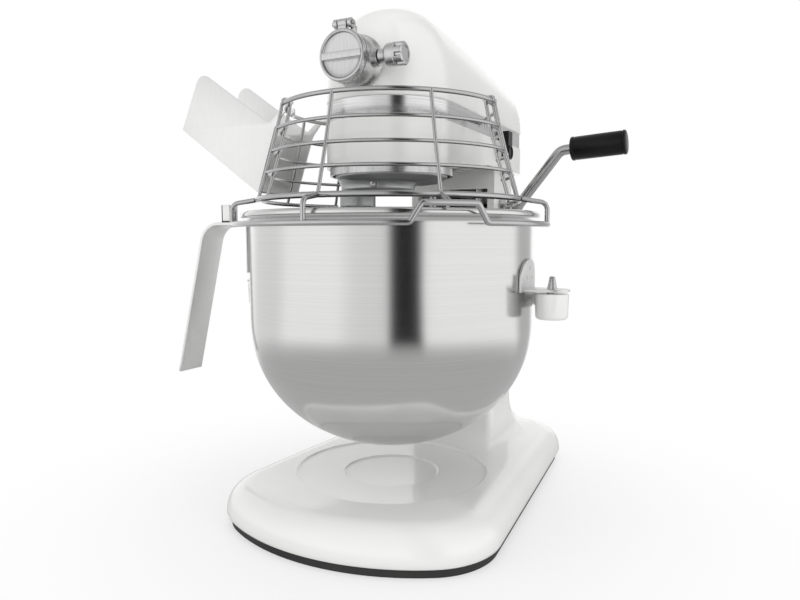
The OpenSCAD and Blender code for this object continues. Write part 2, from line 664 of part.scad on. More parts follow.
// Half section of the bowl, d inside its outer face
function bowl_side(d) = [for (i = [0:bowl_steps]) let (a = i * 90 / bowl_steps)
    [(bowl_r - d) * pow(sin(a), 0.95), bowl_floor_z + bowl_round - (bowl_round - d) * pow(cos(a), 0.95)]];
module bowl_shell() color("silver") {
    rotate_extrude() polygon(concat(bowl_side(0), [[bowl_r, bowl_rim_z - 2 * lip_r],
        [bowl_r + lip_r, bowl_rim_z - 1.6 * lip_r], [bowl_r + lip_r, bowl_rim_z], [bowl_in, bowl_rim_z]],
        [for (i = [bowl_steps:-1:0]) bowl_side(bowl_wall)[i]]));
    rotate_extrude() translate([bowl_r + lip_r, bowl_rim_z - lip_r]) circle(lip_r, $fn = 32);
    rotate([0, 0, -141]) translate([bowl_r - 0.5, -4, bowl_rim_z - 49]) cube([2.6, 8, 38]);
}
module bowl_brackets() color("silver") for (s = [0, 180]) rotate([0, 0, s]) {
    intersection() {
        translate([0, 0, pad_top + 0.8]) difference() {
            cylinder(r = bowl_r + 2.4, h = 26);
            translate([0, 0, -1]) cylinder(r = bowl_r + 0.05, h = 30);
        }
        translate([0, 0, pad_top + 2]) rotate([0, 90, 0]) scale([1.3, 1, 1]) cylinder(r = 17, h = 200);
    }
    difference() {
        union() {
            translate([bowl_r - 20, -flange_w, pad_top + seat]) cube([pad_x - bowl_r + 20, 2 * flange_w, 2]);
            translate([pad_x, 0, pad_top + seat]) cylinder(r = flange_w, h = 2);
        }
        cylinder(r = bowl_r, h = 400);
        translate([pad_x, 0, 0]) cylinder(r = pin_r + clear, h = 400);
    }
}
module bowl_handle() color("silver") {
    pivot = [handle_reach, arm_z - bend_r];
    down = [sin(grip_slope), -cos(grip_slope)];
    outer = arc_pts(pivot, bend_r, 90, grip_slope, 16);
    inner = arc_pts(pivot, bend_r - strap_t, grip_slope, 90, 16);
    rotate([90, 0, 180]) translate([0, 0, -strap_w / 2]) linear_extrude(strap_w) polygon(concat(
        [[bowl_r + 0.1, arm_z]], outer, [outer[16] + grip_len * down, inner[0] + grip_len * down], inner,
        [[bowl_r + 3.1, arm_z - strap_t], [bowl_r + 3.1, arm_z - 22], [bowl_r + 0.1, arm_z - 22]]));
    // small channel on the handle's arm
    translate([-handle_reach - 2, -6, arm_z - 0.5]) difference() {
        cube([10, 12, 17.5]);
        translate([2, 2, 2.5]) cube([10, 8, 20]);
    }
}
module bowl_latch() color("silver") translate([0, 0, pad_top - 10]) rotate([0, 0, 84]) difference() {
    rotate_extrude(angle = 12) translate([bowl_r + 0.05, 0]) square([2, 24]);
    translate([bowl_r - 5, 12, 12]) rotate([0, 90, 0]) cylinder(r = 4, h = 12);
}

// ---- lever ----
module lever_rod() color("silver") {
    translate([-8, lever_y, lever_z]) rotate([0, 90, 0]) cylinder(r = shaft_r, h = 68);
    wire([60, lever_y, lever_z], lever_out, lever_d);
    wire(lever_out, lever_bend, lever_d);
    wire(lever_bend, [114.5, lever_y, 319], lever_d);
    // crank and pin
    translate([-8, lever_y, lever_z]) rotate([crank_up, 0, 0]) {
        translate([0, 0, -shaft_r]) cube([6, crank_r, 2 * shaft_r]);
        translate([0, crank_r, 0]) rotate([0, 90, 0]) cylinder(r = shaft_r, h = 6);
        translate([-8, crank_r, 0]) rotate([0, 90, 0]) cylinder(r = 3, h = 8);
    }
}
module lever_grip() color("black") translate([114.6, lever_y, 319]) rotate([0, 86, 0]) {
    cylinder(d = lever_grip_d, h = lever_grip_len);
}
module lever_bush() color("silver")
    translate([column_w / 2 - column_wall, lever_y, lever_z]) rotate([0, 90, 0]) difference() {
        union() {
            cylinder(r = bush_r - 0.01, h = column_wall);
            translate([0, 0, column_wall]) cylinder(r = 12, h = 2);
        }
        translate([0, 0, -1]) cylinder(r = shaft_r + running, h = 20);
    }

// ---- guard ----
module guard_post(a, ring_a) {
    low = polar(bumper_r, a, bumper_z);
    knee = polar(bumper_r, a, bumper_z + post_rise);
    wire(low, knee, post_d);
    bead(knee, post_d);
    wire(knee, polar(guard_r, ring_a, guard_z), post_d);
}
module guard_front() color("silver") {
    for (i = [1:3]) arc_wire(dome_r(dome_z[i]), dome_z[i], cage_wire, guard_from, guard_to);
    arc_wire(guard_r, guard_z, frame_wire, guard_from - 6, guard_to + 3);
    arc_wire(guard_top_r, guard_top_z, cage_wire + 0.7, guard_from, guard_to);
    for (a = [guard_from + 1, -90, handhold_mid, guard_to - 1]) dome_rib(a);
    // bumper wire with its raised handhold
    arc_wire(bumper_r, bumper_z, frame_wire, -142, handhold_mid - handhold_foot);
    arc_wire(bumper_r, bumper_z, frame_wire, handhold_mid + handhold_foot, 6);
    arc_wire(bumper_r, bumper_z + handhold_h, frame_wire, handhold_mid - handhold_top,
        handhold_mid + handhold_top);
    for (s = [-1, 1]) {
        foot = polar(bumper_r, handhold_mid + s * handhold_foot, bumper_z);
        top = polar(bumper_r, handhold_mid + s * handhold_top, bumper_z + handhold_h);
        wire(foot, top, frame_wire);
        bead(foot, frame_wire);
        bead(top, frame_wire);
    }
    guard_post(-140, guard_from - 5);
    guard_post(-90, -90);
    guard_post(4, guard_to + 2);
    wire(polar(bumper_r, handhold_mid, bumper_z + handhold_h), polar(guard_r, handhold_mid, guard_z), post_d);
    // clips that ride on the rear section's top ring
    for (a = [guard_from + 2.5, guard_to - 4.5]) rotate([0, 0, a]) {
        rotate_extrude(angle = 2) translate([guard_top_r - rear_in - 2.3, hook_z])
            square([rear_in + 3.5, 1.5]);
        rotate_extrude(angle = 2) translate([guard_top_r - 1.2, guard_top_z - 0.5])
            square([2.4, hook_z - guard_top_z + 2]);
    }
}
module guard_rear() color("silver") for (r = [[-213, -126], [-8, open_rear]]) {
    for (i = [1:3]) arc_wire(dome_r(dome_z[i]) - rear_in, dome_z[i], cage_wire, r[0], r[1]);
    arc_wire(guard_r - rear_in, guard_z, cage_wire + 0.7, r[0], r[1]);
    arc_wire(guard_top_r - rear_in, guard_top_z, cage_wire + 0.4, r[0], r[1]);
    for (a = [r[0] + 1, r[1] - 1, r[0] < -100 ? -180 : 4]) dome_rib(a, rear_in);
    // stay to the side of the head
    let (side = r[0] < -100 ? -1 : 1, end_a = r[0] < -100 ? -212 : 41)
        wire(polar(guard_top_r - rear_in, end_a, guard_top_z),
            [side * (head_r + seat), 66, guard_top_z - 4], stay_d);
}
module guard_latch() color("black") translate([head_r + 0.01, 128, band_z - 14]) {
    cube([7, 12, 24]);
    translate([7, 6, 4]) rotate([0, 90, 0]) rotate_extrude() translate([6, 0]) circle(1, $fn = 16);
}

// ---- chute ----
// Each side wall ends in a hook over the guard's top ring
module chute() color("silver") {
    hook = [[hook_x - 10, hook_z + 2.5], [hook_x + 4.4, hook_z + 2.5], [hook_x + 4.4, hook_z - 6],
        [hook_x + 2.4, hook_z - 6], [hook_x + 2.4, hook_z], [hook_x - 6, hook_z]];
    p = concat([chute_low, [-181, 381], [-172, 383], [-104, 332]], hook, [[-98, 327.5], chute_in]);
    for (y = [-chute_half, chute_half - chute_t]) translate([0, y + chute_t, 0]) rotate([90, 0, 0])
        linear_extrude(chute_t) polygon(p);
    // sloping floor
    translate([0, chute_half, 0]) rotate([90, 0, 0]) linear_extrude(2 * chute_half)
        polygon([chute_low, chute_in, chute_in + [0.5, 1.7], chute_low + [0.5, 1.7]]);
}

// ---- controls ----
module speed_lever() color("silver") translate([-head_r - 16, speed_y - 2, slot_z]) cube([30, 4, lever_t]);
module speed_knob() color("black")
    translate([-head_r - 22, speed_y, slot_z + lever_t / 2]) sphere(6, $fn = 48);
module power_switch() color("black") translate([-head_r - 2, switch_y - switch_w / 2, switch_z])
    cube([8, switch_w, switch_h]);
module reset_button() color("red") translate([button_x, head_rear + 2.5, rear_z]) rotate([90, 0, 0])
    cylinder(r = button_r, h = 8);

base_casting();
base_foot_strip();
column_casting();
column_bolts();
guide_rods();
gearcase();
trim_band();
head_cover();
rear_cover();
head_screws();
ring_gear();
drip_ring();
shaft_bearings();
centre_shaft();
planetary();
planet_screws();
planet_pinion();
beater_shaft();
cross_pin();
reduction_shaft();
motor_stator();
motor_rotor();
motor_fan();
brush_holders();
control_board();
cord_gland();
hub_barrel();
hub_drive();
hub_cap();
hub_hinge_pin();
hub_knob();
bowl_support();
locating_pins();
yoke_slider();
bowl_shell();
bowl_brackets();
bowl_handle();
bowl_latch();
lever_rod();
lever_grip();
lever_bush();
guard_front();
guard_rear();
guard_latch();
chute();
speed_lever();
speed_knob();
power_switch();
reset_button();
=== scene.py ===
import bpy, bmesh, math
from mathutils import Matrix, Vector


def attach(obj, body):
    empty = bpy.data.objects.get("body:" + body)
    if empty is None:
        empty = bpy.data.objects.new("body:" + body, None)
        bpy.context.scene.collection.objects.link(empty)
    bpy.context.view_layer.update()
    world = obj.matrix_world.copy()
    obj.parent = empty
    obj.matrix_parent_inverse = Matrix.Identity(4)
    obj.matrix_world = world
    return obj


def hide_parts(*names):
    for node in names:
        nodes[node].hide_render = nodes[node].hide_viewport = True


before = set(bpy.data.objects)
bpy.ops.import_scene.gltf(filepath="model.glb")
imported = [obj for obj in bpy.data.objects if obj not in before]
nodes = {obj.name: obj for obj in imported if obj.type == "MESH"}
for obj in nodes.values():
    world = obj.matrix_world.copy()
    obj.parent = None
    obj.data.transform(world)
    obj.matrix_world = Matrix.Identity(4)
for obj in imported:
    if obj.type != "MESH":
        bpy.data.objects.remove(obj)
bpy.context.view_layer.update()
mm = 0.001
print("frame loaded", len(nodes))


def newMaterial(name):
    mat = bpy.data.materials.new(name)
    mat.use_nodes = True
    shader = mat.node_tree.nodes["Principled BSDF"]
    return mat, mat.node_tree, shader


def put(tree, kind, **values):
    node = tree.nodes.new(kind)
    for key, value in values.items():
        if key in node.inputs:
            node.inputs[key].default_value = value
        else:
            setattr(node, key, value)
    return node


def newGroup(name, inputs, outputs):
    group = bpy.data.node_groups.new(name, "ShaderNodeTree")
    for label, kind, start in inputs:
        socket = group.interface.new_socket(label, in_out="INPUT", socket_type=kind)
        if start is not None:
            socket.default_value = start
    for label, kind in outputs:
        group.interface.new_socket(label, in_out="OUTPUT", socket_type=kind)
    return group, group.nodes.new("NodeGroupInput"), group.nodes.new("NodeGroupOutput")


def placeGroup(tree, group, **values):
    node = tree.nodes.new("ShaderNodeGroup")
    node.node_tree = group
    for key, value in values.items():
        node.inputs[key].default_value = value
    return node


# what a surface group puts out
surfaceResults = [("Roughness", "NodeSocketFloat"), ("Normal", "NodeSocketVector"),
    ("Mask", "NodeSocketFloat")]


# fine lines left by a brush or a belt, long one way and tight the other
def makeBrushGroup():
    values = [("Vector", "NodeSocketVector", None), ("Stretch", "NodeSocketVector", (6, 6, 900))]
    values += [("Rough", "NodeSocketFloat", 0.28), ("Spread", "NodeSocketFloat", 0.08)]
    values += [("Depth", "NodeSocketFloat", 0.05)]
    group, gin, gout = newGroup("brushLines", values, surfaceResults)
    link = group.links.new
    scaled = put(group, "ShaderNodeVectorMath", operation="MULTIPLY")
    lines = put(group, "ShaderNodeTexNoise", Scale=1.0, Detail=3.0, Roughness=0.6)
    smear = put(group, "ShaderNodeTexNoise", Scale=14.0, Detail=2.0)
    both = put(group, "ShaderNodeMath", operation="MULTIPLY_ADD")
    both.inputs[1].default_value = 0.5
    offset = put(group, "ShaderNodeMath", operation="SUBTRACT")
    offset.inputs[1].default_value = 0.75
    rough = put(group, "ShaderNodeMath", operation="MULTIPLY_ADD")
    bump = put(group, "ShaderNodeBump", Distance=0.0004)
    link(gin.outputs["Vector"], scaled.inputs[0])
    link(gin.outputs["Stretch"], scaled.inputs[1])
    link(scaled.outputs[0], lines.inputs["Vector"])
    link(gin.outputs["Vector"], smear.inputs["Vector"])
    link(smear.outputs["Fac"], both.inputs[0])
    link(lines.outputs["Fac"], both.inputs[2])
    link(both.outputs[0], offset.inputs[0])
    link(offset.outputs[0], rough.inputs[0])
    link(gin.outputs["Spread"], rough.inputs[1])
    link(gin.outputs["Rough"], rough.inputs[2])
    link(lines.outputs["Fac"], bump.inputs["Height"])
    link(gin.outputs["Depth"], bump.inputs["Strength"])
    link(rough.outputs[0], gout.inputs["Roughness"])
    link(bump.outputs["Normal"], gout.inputs["Normal"])
    link(lines.outputs["Fac"], gout.inputs["Mask"])
    return group


# soft mottling: orange peel in paint, grain in moulded plastic
def makeGrainGroup():
    values = [("Vector", "NodeSocketVector", None), ("Scale", "NodeSocketFloat", 400.0)]
    values += [("Rough", "NodeSocketFloat", 0.3), ("Spread", "NodeSocketFloat", 0.1)]
    values += [("Depth", "NodeSocketFloat", 0.05)]
    group, gin, gout = newGroup("surfaceGrain", values, surfaceResults)
    link = group.links.new
    grain = put(group, "ShaderNodeTexNoise", Detail=2.0)
    cloud = put(group, "ShaderNodeTexNoise", Scale=9.0, Detail=3.0)
    centre = put(group, "ShaderNodeMath", operation="SUBTRACT")
    centre.inputs[1].default_value = 0.5
    rough = put(group, "ShaderNodeMath", operation="MULTIPLY_ADD")
    bump = put(group, "ShaderNodeBump", Distance=0.0005)
    link(gin.outputs["Vector"], grain.inputs["Vector"])
    link(gin.outputs["Scale"], grain.inputs["Scale"])
    link(gin.outputs["Vector"], cloud.inputs["Vector"])
    link(cloud.outputs["Fac"], centre.inputs[0])
    link(centre.outputs[0], rough.inputs[0])
    link(gin.outputs["Spread"], rough.inputs[1])
    link(gin.outputs["Rough"], rough.inputs[2])
    link(grain.outputs["Fac"], bump.inputs["Height"])
    link(gin.outputs["Depth"], bump.inputs["Strength"])
    link(rough.outputs[0], gout.inputs["Roughness"])
    link(bump.outputs["Normal"], gout.inputs["Normal"])
    link(cloud.outputs["Fac"], gout.inputs["Mask"])
    return group


brushLines = makeBrushGroup()
surfaceGrain = makeGrainGroup()


def twoTone(tree, mask, dark, light, low=0.35, high=0.65):
    ramp = put(tree, "ShaderNodeValToRGB")
    ramp.color_ramp.elements[0].position = low
    ramp.color_ramp.elements[0].color = (*dark, 1)
    ramp.color_ramp.elements[1].position = high
    ramp.color_ramp.elements[1].color = (*light, 1)
    tree.links.new(mask, ramp.inputs["Fac"])
    return ramp.outputs["Color"]


def brushedMetal(name, dark, light, rough, spread=0.08, depth=0.05, stretch=(6, 6, 900)):
    mat, tree, shader = newMaterial(name)
    coords = put(tree, "ShaderNodeTexCoord")
    lines = placeGroup(tree, brushLines, Stretch=stretch, Rough=rough, Spread=spread, Depth=depth)
    tree.links.new(coords.outputs["Object"], lines.inputs["Vector"])
    tree.links.new(twoTone(tree, lines.outputs["Mask"], dark, light), shader.inputs["Base Color"])
    tree.links.new(lines.outputs["Roughness"], shader.inputs["Roughness"])
    tree.links.new(lines.outputs["Normal"], shader.inputs["Normal"])
    shader.inputs["Metallic"].default_value = 1.0
    return mat


def grainedSurface(name, dark, light, rough, spread=0.1, scale=400.0, depth=0.05, metallic=0.0, coat=0.0,
    coatRough=0.1, gloss=0.5):
    mat, tree, shader = newMaterial(name)
    coords = put(tree, "ShaderNodeTexCoord")
    grain = placeGroup(tree, surfaceGrain, Scale=scale, Rough=rough, Spread=spread, Depth=depth)
    tree.links.new(coords.outputs["Object"], grain.inputs["Vector"])
    tree.links.new(twoTone(tree, grain.outputs["Mask"], dark, light), shader.inputs["Base Color"])
    tree.links.new(grain.outputs["Roughness"], shader.inputs["Roughness"])
    tree.links.new(grain.outputs["Normal"], shader.inputs["Normal"])
    shader.inputs["Metallic"].default_value = metallic
    shader.inputs["Coat Weight"].default_value = coat
    shader.inputs["Coat Roughness"].default_value = coatRough
    shader.inputs["Specular IOR Level"].default_value = gloss
    return mat


whitePaint = grainedSurface("whitePaint", (0.82, 0.82, 0.80), (0.86, 0.86, 0.845), 0.22, 0.06, 260.0, 0.03,
    coat=0.6, coatRough=0.06)
bowlSteel = brushedMetal("bowlSteel", (0.635, 0.635, 0.63), (0.665, 0.665, 0.66), 0.17, 0.02, 0.008,
    (3, 3, 1500))
wireSteel = grainedSurface("wireSteel", (0.42, 0.42, 0.42), (0.50, 0.50, 0.50), 0.2, 0.06, 500.0, 0.02,
    metallic=1.0)
satinSteel = brushedMetal("satinSteel", (0.54, 0.54, 0.54), (0.60, 0.60, 0.60), 0.27, 0.04, 0.012,
    (600, 40, 40))
bandSteel = brushedMetal("bandSteel", (0.58, 0.58, 0.58), (0.72, 0.72, 0.72), 0.2, 0.08, 0.05, (20, 20, 1300))
sheetSteel = brushedMetal("sheetSteel", (0.78, 0.78, 0.775), (0.80, 0.80, 0.795), 0.42, 0.02, 0.005,
    (300, 60, 60))
castMetal = grainedSurface("castMetal", (0.52, 0.53, 0.53), (0.60, 0.61, 0.61), 0.38, 0.1, 700.0, 0.12,
    metallic=0.85)
machinedSteel = brushedMetal("machinedSteel", (0.42, 0.42, 0.42), (0.55, 0.55, 0.55), 0.25, 0.1, 0.06,
    (60, 60, 1500))
gripPlastic = grainedSurface("gripPlastic", (0.006, 0.006, 0.006), (0.01, 0.01, 0.01), 0.32, 0.08, 1400.0,
    0.1, gloss=0.2)
footRubber = grainedSurface("footRubber", (0.02, 0.02, 0.02), (0.035, 0.035, 0.035), 0.75, 0.1, 900.0, 0.2)
motorIron = brushedMetal("motorIron", (0.12, 0.12, 0.12), (0.2, 0.2, 0.21), 0.45, 0.1, 0.2, (8, 1500, 8))
windingCopper = brushedMetal("windingCopper", (0.45, 0.19, 0.08), (0.62, 0.29, 0.13), 0.4, 0.1, 0.3,
    (8, 1200, 8))
brushBrass = grainedSurface("brushBrass", (0.55, 0.42, 0.16), (0.65, 0.5, 0.22), 0.3, 0.1, 600.0, 0.05,
    metallic=1.0)
boardGreen = grainedSurface("boardGreen", (0.01, 0.10, 0.03), (0.02, 0.16, 0.05), 0.45, 0.1, 800.0, 0.05)
buttonRed = grainedSurface("buttonRed", (0.45, 0.015, 0.012), (0.55, 0.02, 0.015), 0.25, 0.08, 900.0, 0.03)
print("materials made")

cadFinish = {
    whitePaint: ["base_casting", "column_casting", "gearcase", "head_cover", "rear_cover", "bowl_support"],
    bowlSteel: ["bowl_shell"],
    wireSteel: ["guard_front", "guard_rear", "lever_rod"],
    satinSteel: ["hub_barrel", "hub_cap", "hub_knob", "drip_ring"],
    bandSteel: ["trim_band"],
    sheetSteel: ["bowl_handle", "bowl_brackets", "bowl_latch", "chute"],
    castMetal: ["planetary"],
    machinedSteel: ["column_bolts", "guide_rods", "head_screws", "ring_gear", "shaft_bearings",
        "centre_shaft", "planet_screws", "planet_pinion", "beater_shaft", "cross_pin", "reduction_shaft",
        "hub_drive", "hub_hinge_pin", "locating_pins", "yoke_slider", "lever_bush", "speed_lever"],
    gripPlastic: ["lever_grip", "motor_fan", "speed_knob", "power_switch", "guard_latch"],
    footRubber: ["base_foot_strip", "cord_gland"],
    motorIron: ["motor_stator"],
    windingCopper: ["motor_rotor"],
    brushBrass: ["brush_holders"],
    boardGreen: ["control_board"],
    buttonRed: ["reset_button"],
}
for finish, names in cadFinish.items():
    for name in names:
        slots = nodes[name].data.materials
        slots.clear()
        slots.append(finish)


def deselect():
    if bpy.context.object and bpy.context.object.mode != "OBJECT":
        bpy.ops.object.mode_set(mode="OBJECT")
    bpy.ops.object.select_all(action="DESELECT")


def placeRow(row, ring):
    for vert, point in zip(row, ring):
        vert.co = Vector(point) * mm


def rowKey(vert):
    return tuple(round(c, 7) for c in vert.co)


# a skin drawn ring by ring: a circle is extruded once for each ring and set in its place
def drawSkin(name, rings, startCap="", endCap=""):
    deselect()
    bpy.ops.mesh.primitive_circle_add(vertices=len(rings[0]), radius=1)
    piece = bpy.context.object
    piece.name = name
    bpy.ops.object.mode_set(mode="EDIT")
    mesh = bmesh.from_edit_mesh(piece.data)
    mesh.verts.ensure_lookup_table()
    row = list(mesh.verts)
    placeRow(row, rings[0])
    for ring in rings[1:]:
        order = {rowKey(v): i for i, v in enumerate(row)}
        bpy.ops.mesh.extrude_region_move()
        mesh = bmesh.from_edit_mesh(piece.data)
        row = sorted((v for v in mesh.verts if v.select), key=lambda v: order[rowKey(v)])
        placeRow(row, ring)
    bmesh.update_edit_mesh(piece.data)
    capRow(endCap)
    if startCap:
        bpy.ops.mesh.select_all(action="DESELECT")
        mesh = bmesh.from_edit_mesh(piece.data)
        mesh.verts.ensure_lookup_table()
        for i in range(len(rings[0])):
            mesh.verts[i].select_set(True)
        mesh.select_flush(True)
        bmesh.update_edit_mesh(piece.data)
        capRow(startCap)
    bpy.ops.mesh.select_all(action="SELECT")
    bpy.ops.mesh.normals_make_consistent(inside=False)
    bpy.ops.object.mode_set(mode="OBJECT")
    return piece


def capRow(kind):
    if kind == "flat":
        bpy.ops.mesh.edge_face_add()
    if kind == "point":
        bpy.ops.mesh.merge(type="CENTER")


def circleRing(radius, z, count=96, x=0.0, y=0.0):
    turns = [2 * math.pi * i / count for i in range(count)]
    return [(x + radius * math.cos(a), y + radius * math.sin(a), z) for a in turns]


# a turned shape about a vertical axis, from (radius, z) points
def turned(name, profile, count=96, x=0.0, y=0.0, startCap="point", endCap="point"):
    rings = [circleRing(max(r, 0.05), z, count, x, y) for r, z in profile]
    return drawSkin(name, rings, startCap, endCap)


def arcPoints(cx, cy, radius, start, end, steps):
    return [(cx + radius * math.cos(math.radians(start + (end - start) * i / steps)),
        cy + radius * math.sin(math.radians(start + (end - start) * i / steps))) for i in range(steps + 1)]


# a centre line whose corners are rounded, as a bent wire or strap has them
def bentLine(points, bend, step=12):
    points = [Vector(p) for p in points]
    line = [points[0]]
    for before, corner, after in zip(points, points[1:], points[2:]):
        a, b = (before - corner), (after - corner)
        inside = a.angle(b)
        turn = math.pi - inside
        if turn < 0.03:
            line.append(corner)
            continue
        reach = min(bend / math.tan(inside / 2), 0.48 * a.length, 0.48 * b.length)
        a.normalize()
        b.normalize()
        radius = reach * math.tan(inside / 2)
        centre = corner + (a + b).normalized() * (radius / math.sin(inside / 2))
        spoke = corner + a * reach - centre
        axis = spoke.cross(corner + b * reach - centre).normalized()
        steps = max(2, int(math.degrees(turn) / step))
        line += [centre + Matrix.Rotation(turn * i / steps, 3, axis) @ spoke for i in range(steps + 1)]
    return line + [points[-1]]


# a section carried along a line without twisting
def sweep(name, line, section, side=(0, 0, 1), caps="flat"):
    line = [Vector(p) for p in line]
    rings = []
    heading = (line[1] - line[0]).normalized()
    across = Vector(side) - heading * Vector(side).dot(heading)
    across.normalize()
    for i, point in enumerate(line):
        ahead = (line[min(i + 1, len(line) - 1)] - line[max(i - 1, 0)]).normalized()
        across = heading.rotation_difference(ahead) @ across
        heading = ahead
        up = heading.cross(across)
        rings.append([point + across * u + up * v for u, v in section])
    return drawSkin(name, rings, caps, caps)


def roundSection(diameter, count=14):
    turns = [2 * math.pi * i / count for i in range(count)]
    return [(diameter / 2 * math.cos(a), diameter / 2 * math.sin(a)) for a in turns]


def slabSection(width, height, corner, steps=3):
    points = []
    for sx, sy, start in ((1, 1, 0), (-1, 1, 90), (-1, -1, 180), (1, -1, 270)):
        points += arcPoints(sx * (width / 2 - corner), sy * (height / 2 - corner), corner, start, start + 90,
            steps)
    return points


def polarPoint(radius, angle, z):
    return (radius * math.cos(math.radians(angle)), radius * math.sin(math.radians(angle)), z)


def arcLine(radius, z, start, end, step=3.0):
    steps = max(2, int(abs(end - start) / step))
    return [polarPoint(radius, start + (end - start) * i / steps, z) for i in range(steps + 1)]


def addModifier(piece, kind, **values):
    deselect()
    piece.select_set(True)
    bpy.context.view_layer.objects.active = piece
    bpy.ops.object.modifier_add(type=kind)
    modifier = piece.modifiers[-1]
    for key, value in values.items():
        setattr(modifier, key, value)
    bpy.ops.object.modifier_apply(modifier=modifier.name)


def softenEdges(piece, width, segments=2, angle=35):
    addModifier(piece, "BEVEL", width=width * mm, segments=segments, limit_method="ANGLE",
        angle_limit=math.radians(angle))


def joinPieces(name, parts):
    deselect()
    for part in parts:
        part.select_set(True)
    bpy.context.view_layer.objects.active = parts[0]
    if len(parts) > 1:
        bpy.ops.object.join()
    parts[0].name = name
    return parts[0]


def done(piece, body, finish, covers=(), smooth=35):
    deselect()
    piece.select_set(True)
    bpy.context.view_layer.objects.active = piece
    bpy.ops.object.transform_apply(location=True, rotation=True, scale=True)
    bpy.ops.object.shade_smooth_by_angle(angle=math.radians(smooth))
    piece.data.materials.clear()
    piece.data.materials.append(finish)
    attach(piece, body)
    if covers:
        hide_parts(*covers)
    return piece


# a turned shape stood on another axis: the profile runs along z and is then laid over
def laidOver(piece, place, direction):
    turn = Vector((0, 0, 1)).rotation_difference(Vector(direction)).to_matrix().to_4x4()
    piece.matrix_world = Matrix.Translation(Vector(place) * mm) @ turn
    deselect()
    piece.select_set(True)
    bpy.context.view_layer.objects.active = piece
    bpy.ops.object.transform_apply(location=True, rotation=True, scale=True)
    return piece


# a flat plate with a given outline in 3-D and a thickness to one side
def plate(name, outline, thickness, bevel=0.3):
    shift = Vector(thickness)
    piece = drawSkin(name, [outline, [tuple(Vector(p) + shift) for p in outline]], "flat", "flat")
    if bevel:
        softenEdges(piece, bevel)
    return piece


def block(name, low, high, bevel=0.6, segments=2):
    deselect()
    centre = [(a + b) / 2 * mm for a, b in zip(low, high)]
    bpy.ops.mesh.primitive_cube_add(size=1, location=centre)
    piece = bpy.context.object
    piece.name = name
    piece.scale = [(b - a) * mm for a, b in zip(low, high)]
    bpy.ops.object.transform_apply(location=True, rotation=True, scale=True)
    softenEdges(piece, bevel, segments)
    return piece


# rounded corners for an outline given in a plane
def roundedOutline(points, radius, steps=6):
    rounded = []
    for i, corner in enumerate(points):
        corner = Vector(corner)
        before, after = Vector(points[i - 1]), Vector(points[(i + 1) % len(points)])
        r = radius[i] if isinstance(radius, (list, tuple)) else radius
        if r <= 0:
            rounded.append(tuple(corner))
            continue
        line = bentLine([before, corner, after], r, step=90 / steps)
        rounded += [tuple(p) for p in line[1:-1]]
    return rounded


bowl = {"radius": 118.5, "wall": 1.5, "rim": 254.0, "floor": 60.0, "round": 108.0, "bead": 3.0, "count": 144}


def bowlSide(inset):
    points = []
    for i in range(37):
        a = math.radians(i * 90 / 36)
        points.append(((bowl["radius"] - inset) * math.sin(a) ** 0.95 if i else 0.0,
            bowl["floor"] + bowl["round"] - (bowl["round"] - inset) * max(math.cos(a), 0) ** 0.95))
    return points


def makeBowl():
    rim, r, bead = bowl["rim"], bowl["radius"], bowl["bead"]
    outer = bowlSide(0)
    neck = [(r, 200), (r, 243.5), (r + 0.2, rim - 9), (r + 0.9, rim - 7.6), (r + 1.9, rim - 6.4)]
    roll = arcPoints(r + bead, rim - bead, bead, -80, 150, 12)
    inner = [(r - bowl["wall"], rim - 5), (r - bowl["wall"], 200)] + bowlSide(bowl["wall"])[::-1]
    shell = turned("bowlShell", outer + neck + roll + inner, bowl["count"])
    done(shell, "yoke", bowlSteel, ["bowl_shell"], 50)


strap = {"width": 30.0, "thick": 3.0, "armZ": 247.7, "reach": 178.0, "bend": 22.0, "length": 134.0,
    "slope": 14.0, "tabHeight": 17.0}


def makeHandle():
    top = strap["armZ"] - strap["thick"] / 2
    lean = math.radians(strap["slope"])
    bend = strap["bend"] - strap["thick"] / 2
    pivotZ = strap["armZ"] - strap["bend"]
    line = [(-bowl["radius"] - 1.6, 0, top - 21), (-bowl["radius"] - 1.6, 0, top)]
    line = bentLine([line[0], line[1], (-strap["reach"], 0, top)], 3.0, 15)[:-1]
    for x, z in arcPoints(strap["reach"], pivotZ, bend, 90, strap["slope"], 16):
        line.append((-x, 0, z))
    end = Vector(line[-1]) + Vector((-math.sin(lean), 0, -math.cos(lean))) * strap["length"]
    line += [tuple(Vector(line[-1]).lerp(end, t)) for t in (0.5, 0.94, 1.0)]
    band = sweep("bowlHandle", line, slabSection(strap["width"], strap["thick"], 0.9, 2), side=(0, 1, 0))
    softenEdges(band, 0.5, 2, 50)
    x0 = -strap["reach"] + 1
    z0 = strap["armZ"] - 0.2
    top = z0 + strap["tabHeight"]
    tab = [block("tabFloor", (x0 - 3, -6, z0), (x0 + 7, 6, z0 + 2.2), 0.5)]
    tab.append(block("tabSide", (x0 - 3, -6, z0), (x0 + 7, -4, top), 0.5))
    tab.append(block("tabSide", (x0 - 3, 4, z0), (x0 + 7, 6, top), 0.5))
    tab.append(block("tabBack", (x0 - 3, -6, z0), (x0 - 1, 6, top), 0.5))
    done(joinPieces("bowlHandle", [band] + tab), "yoke", sheetSteel, ["bowl_handle"], 40)


bracket = {"halfWidth": 19.0, "low": 192.0, "high": 217.0, "padX": 138.0, "flange": 192.3, "thick": 2.0,
    "weldR": 1.5, "welds": ((-7, 203), (7, 203), (0, 210))}
bowlStop = {"angle": -141, "half": 3.8, "low": 205.0, "high": 244.0, "thick": 2.0}


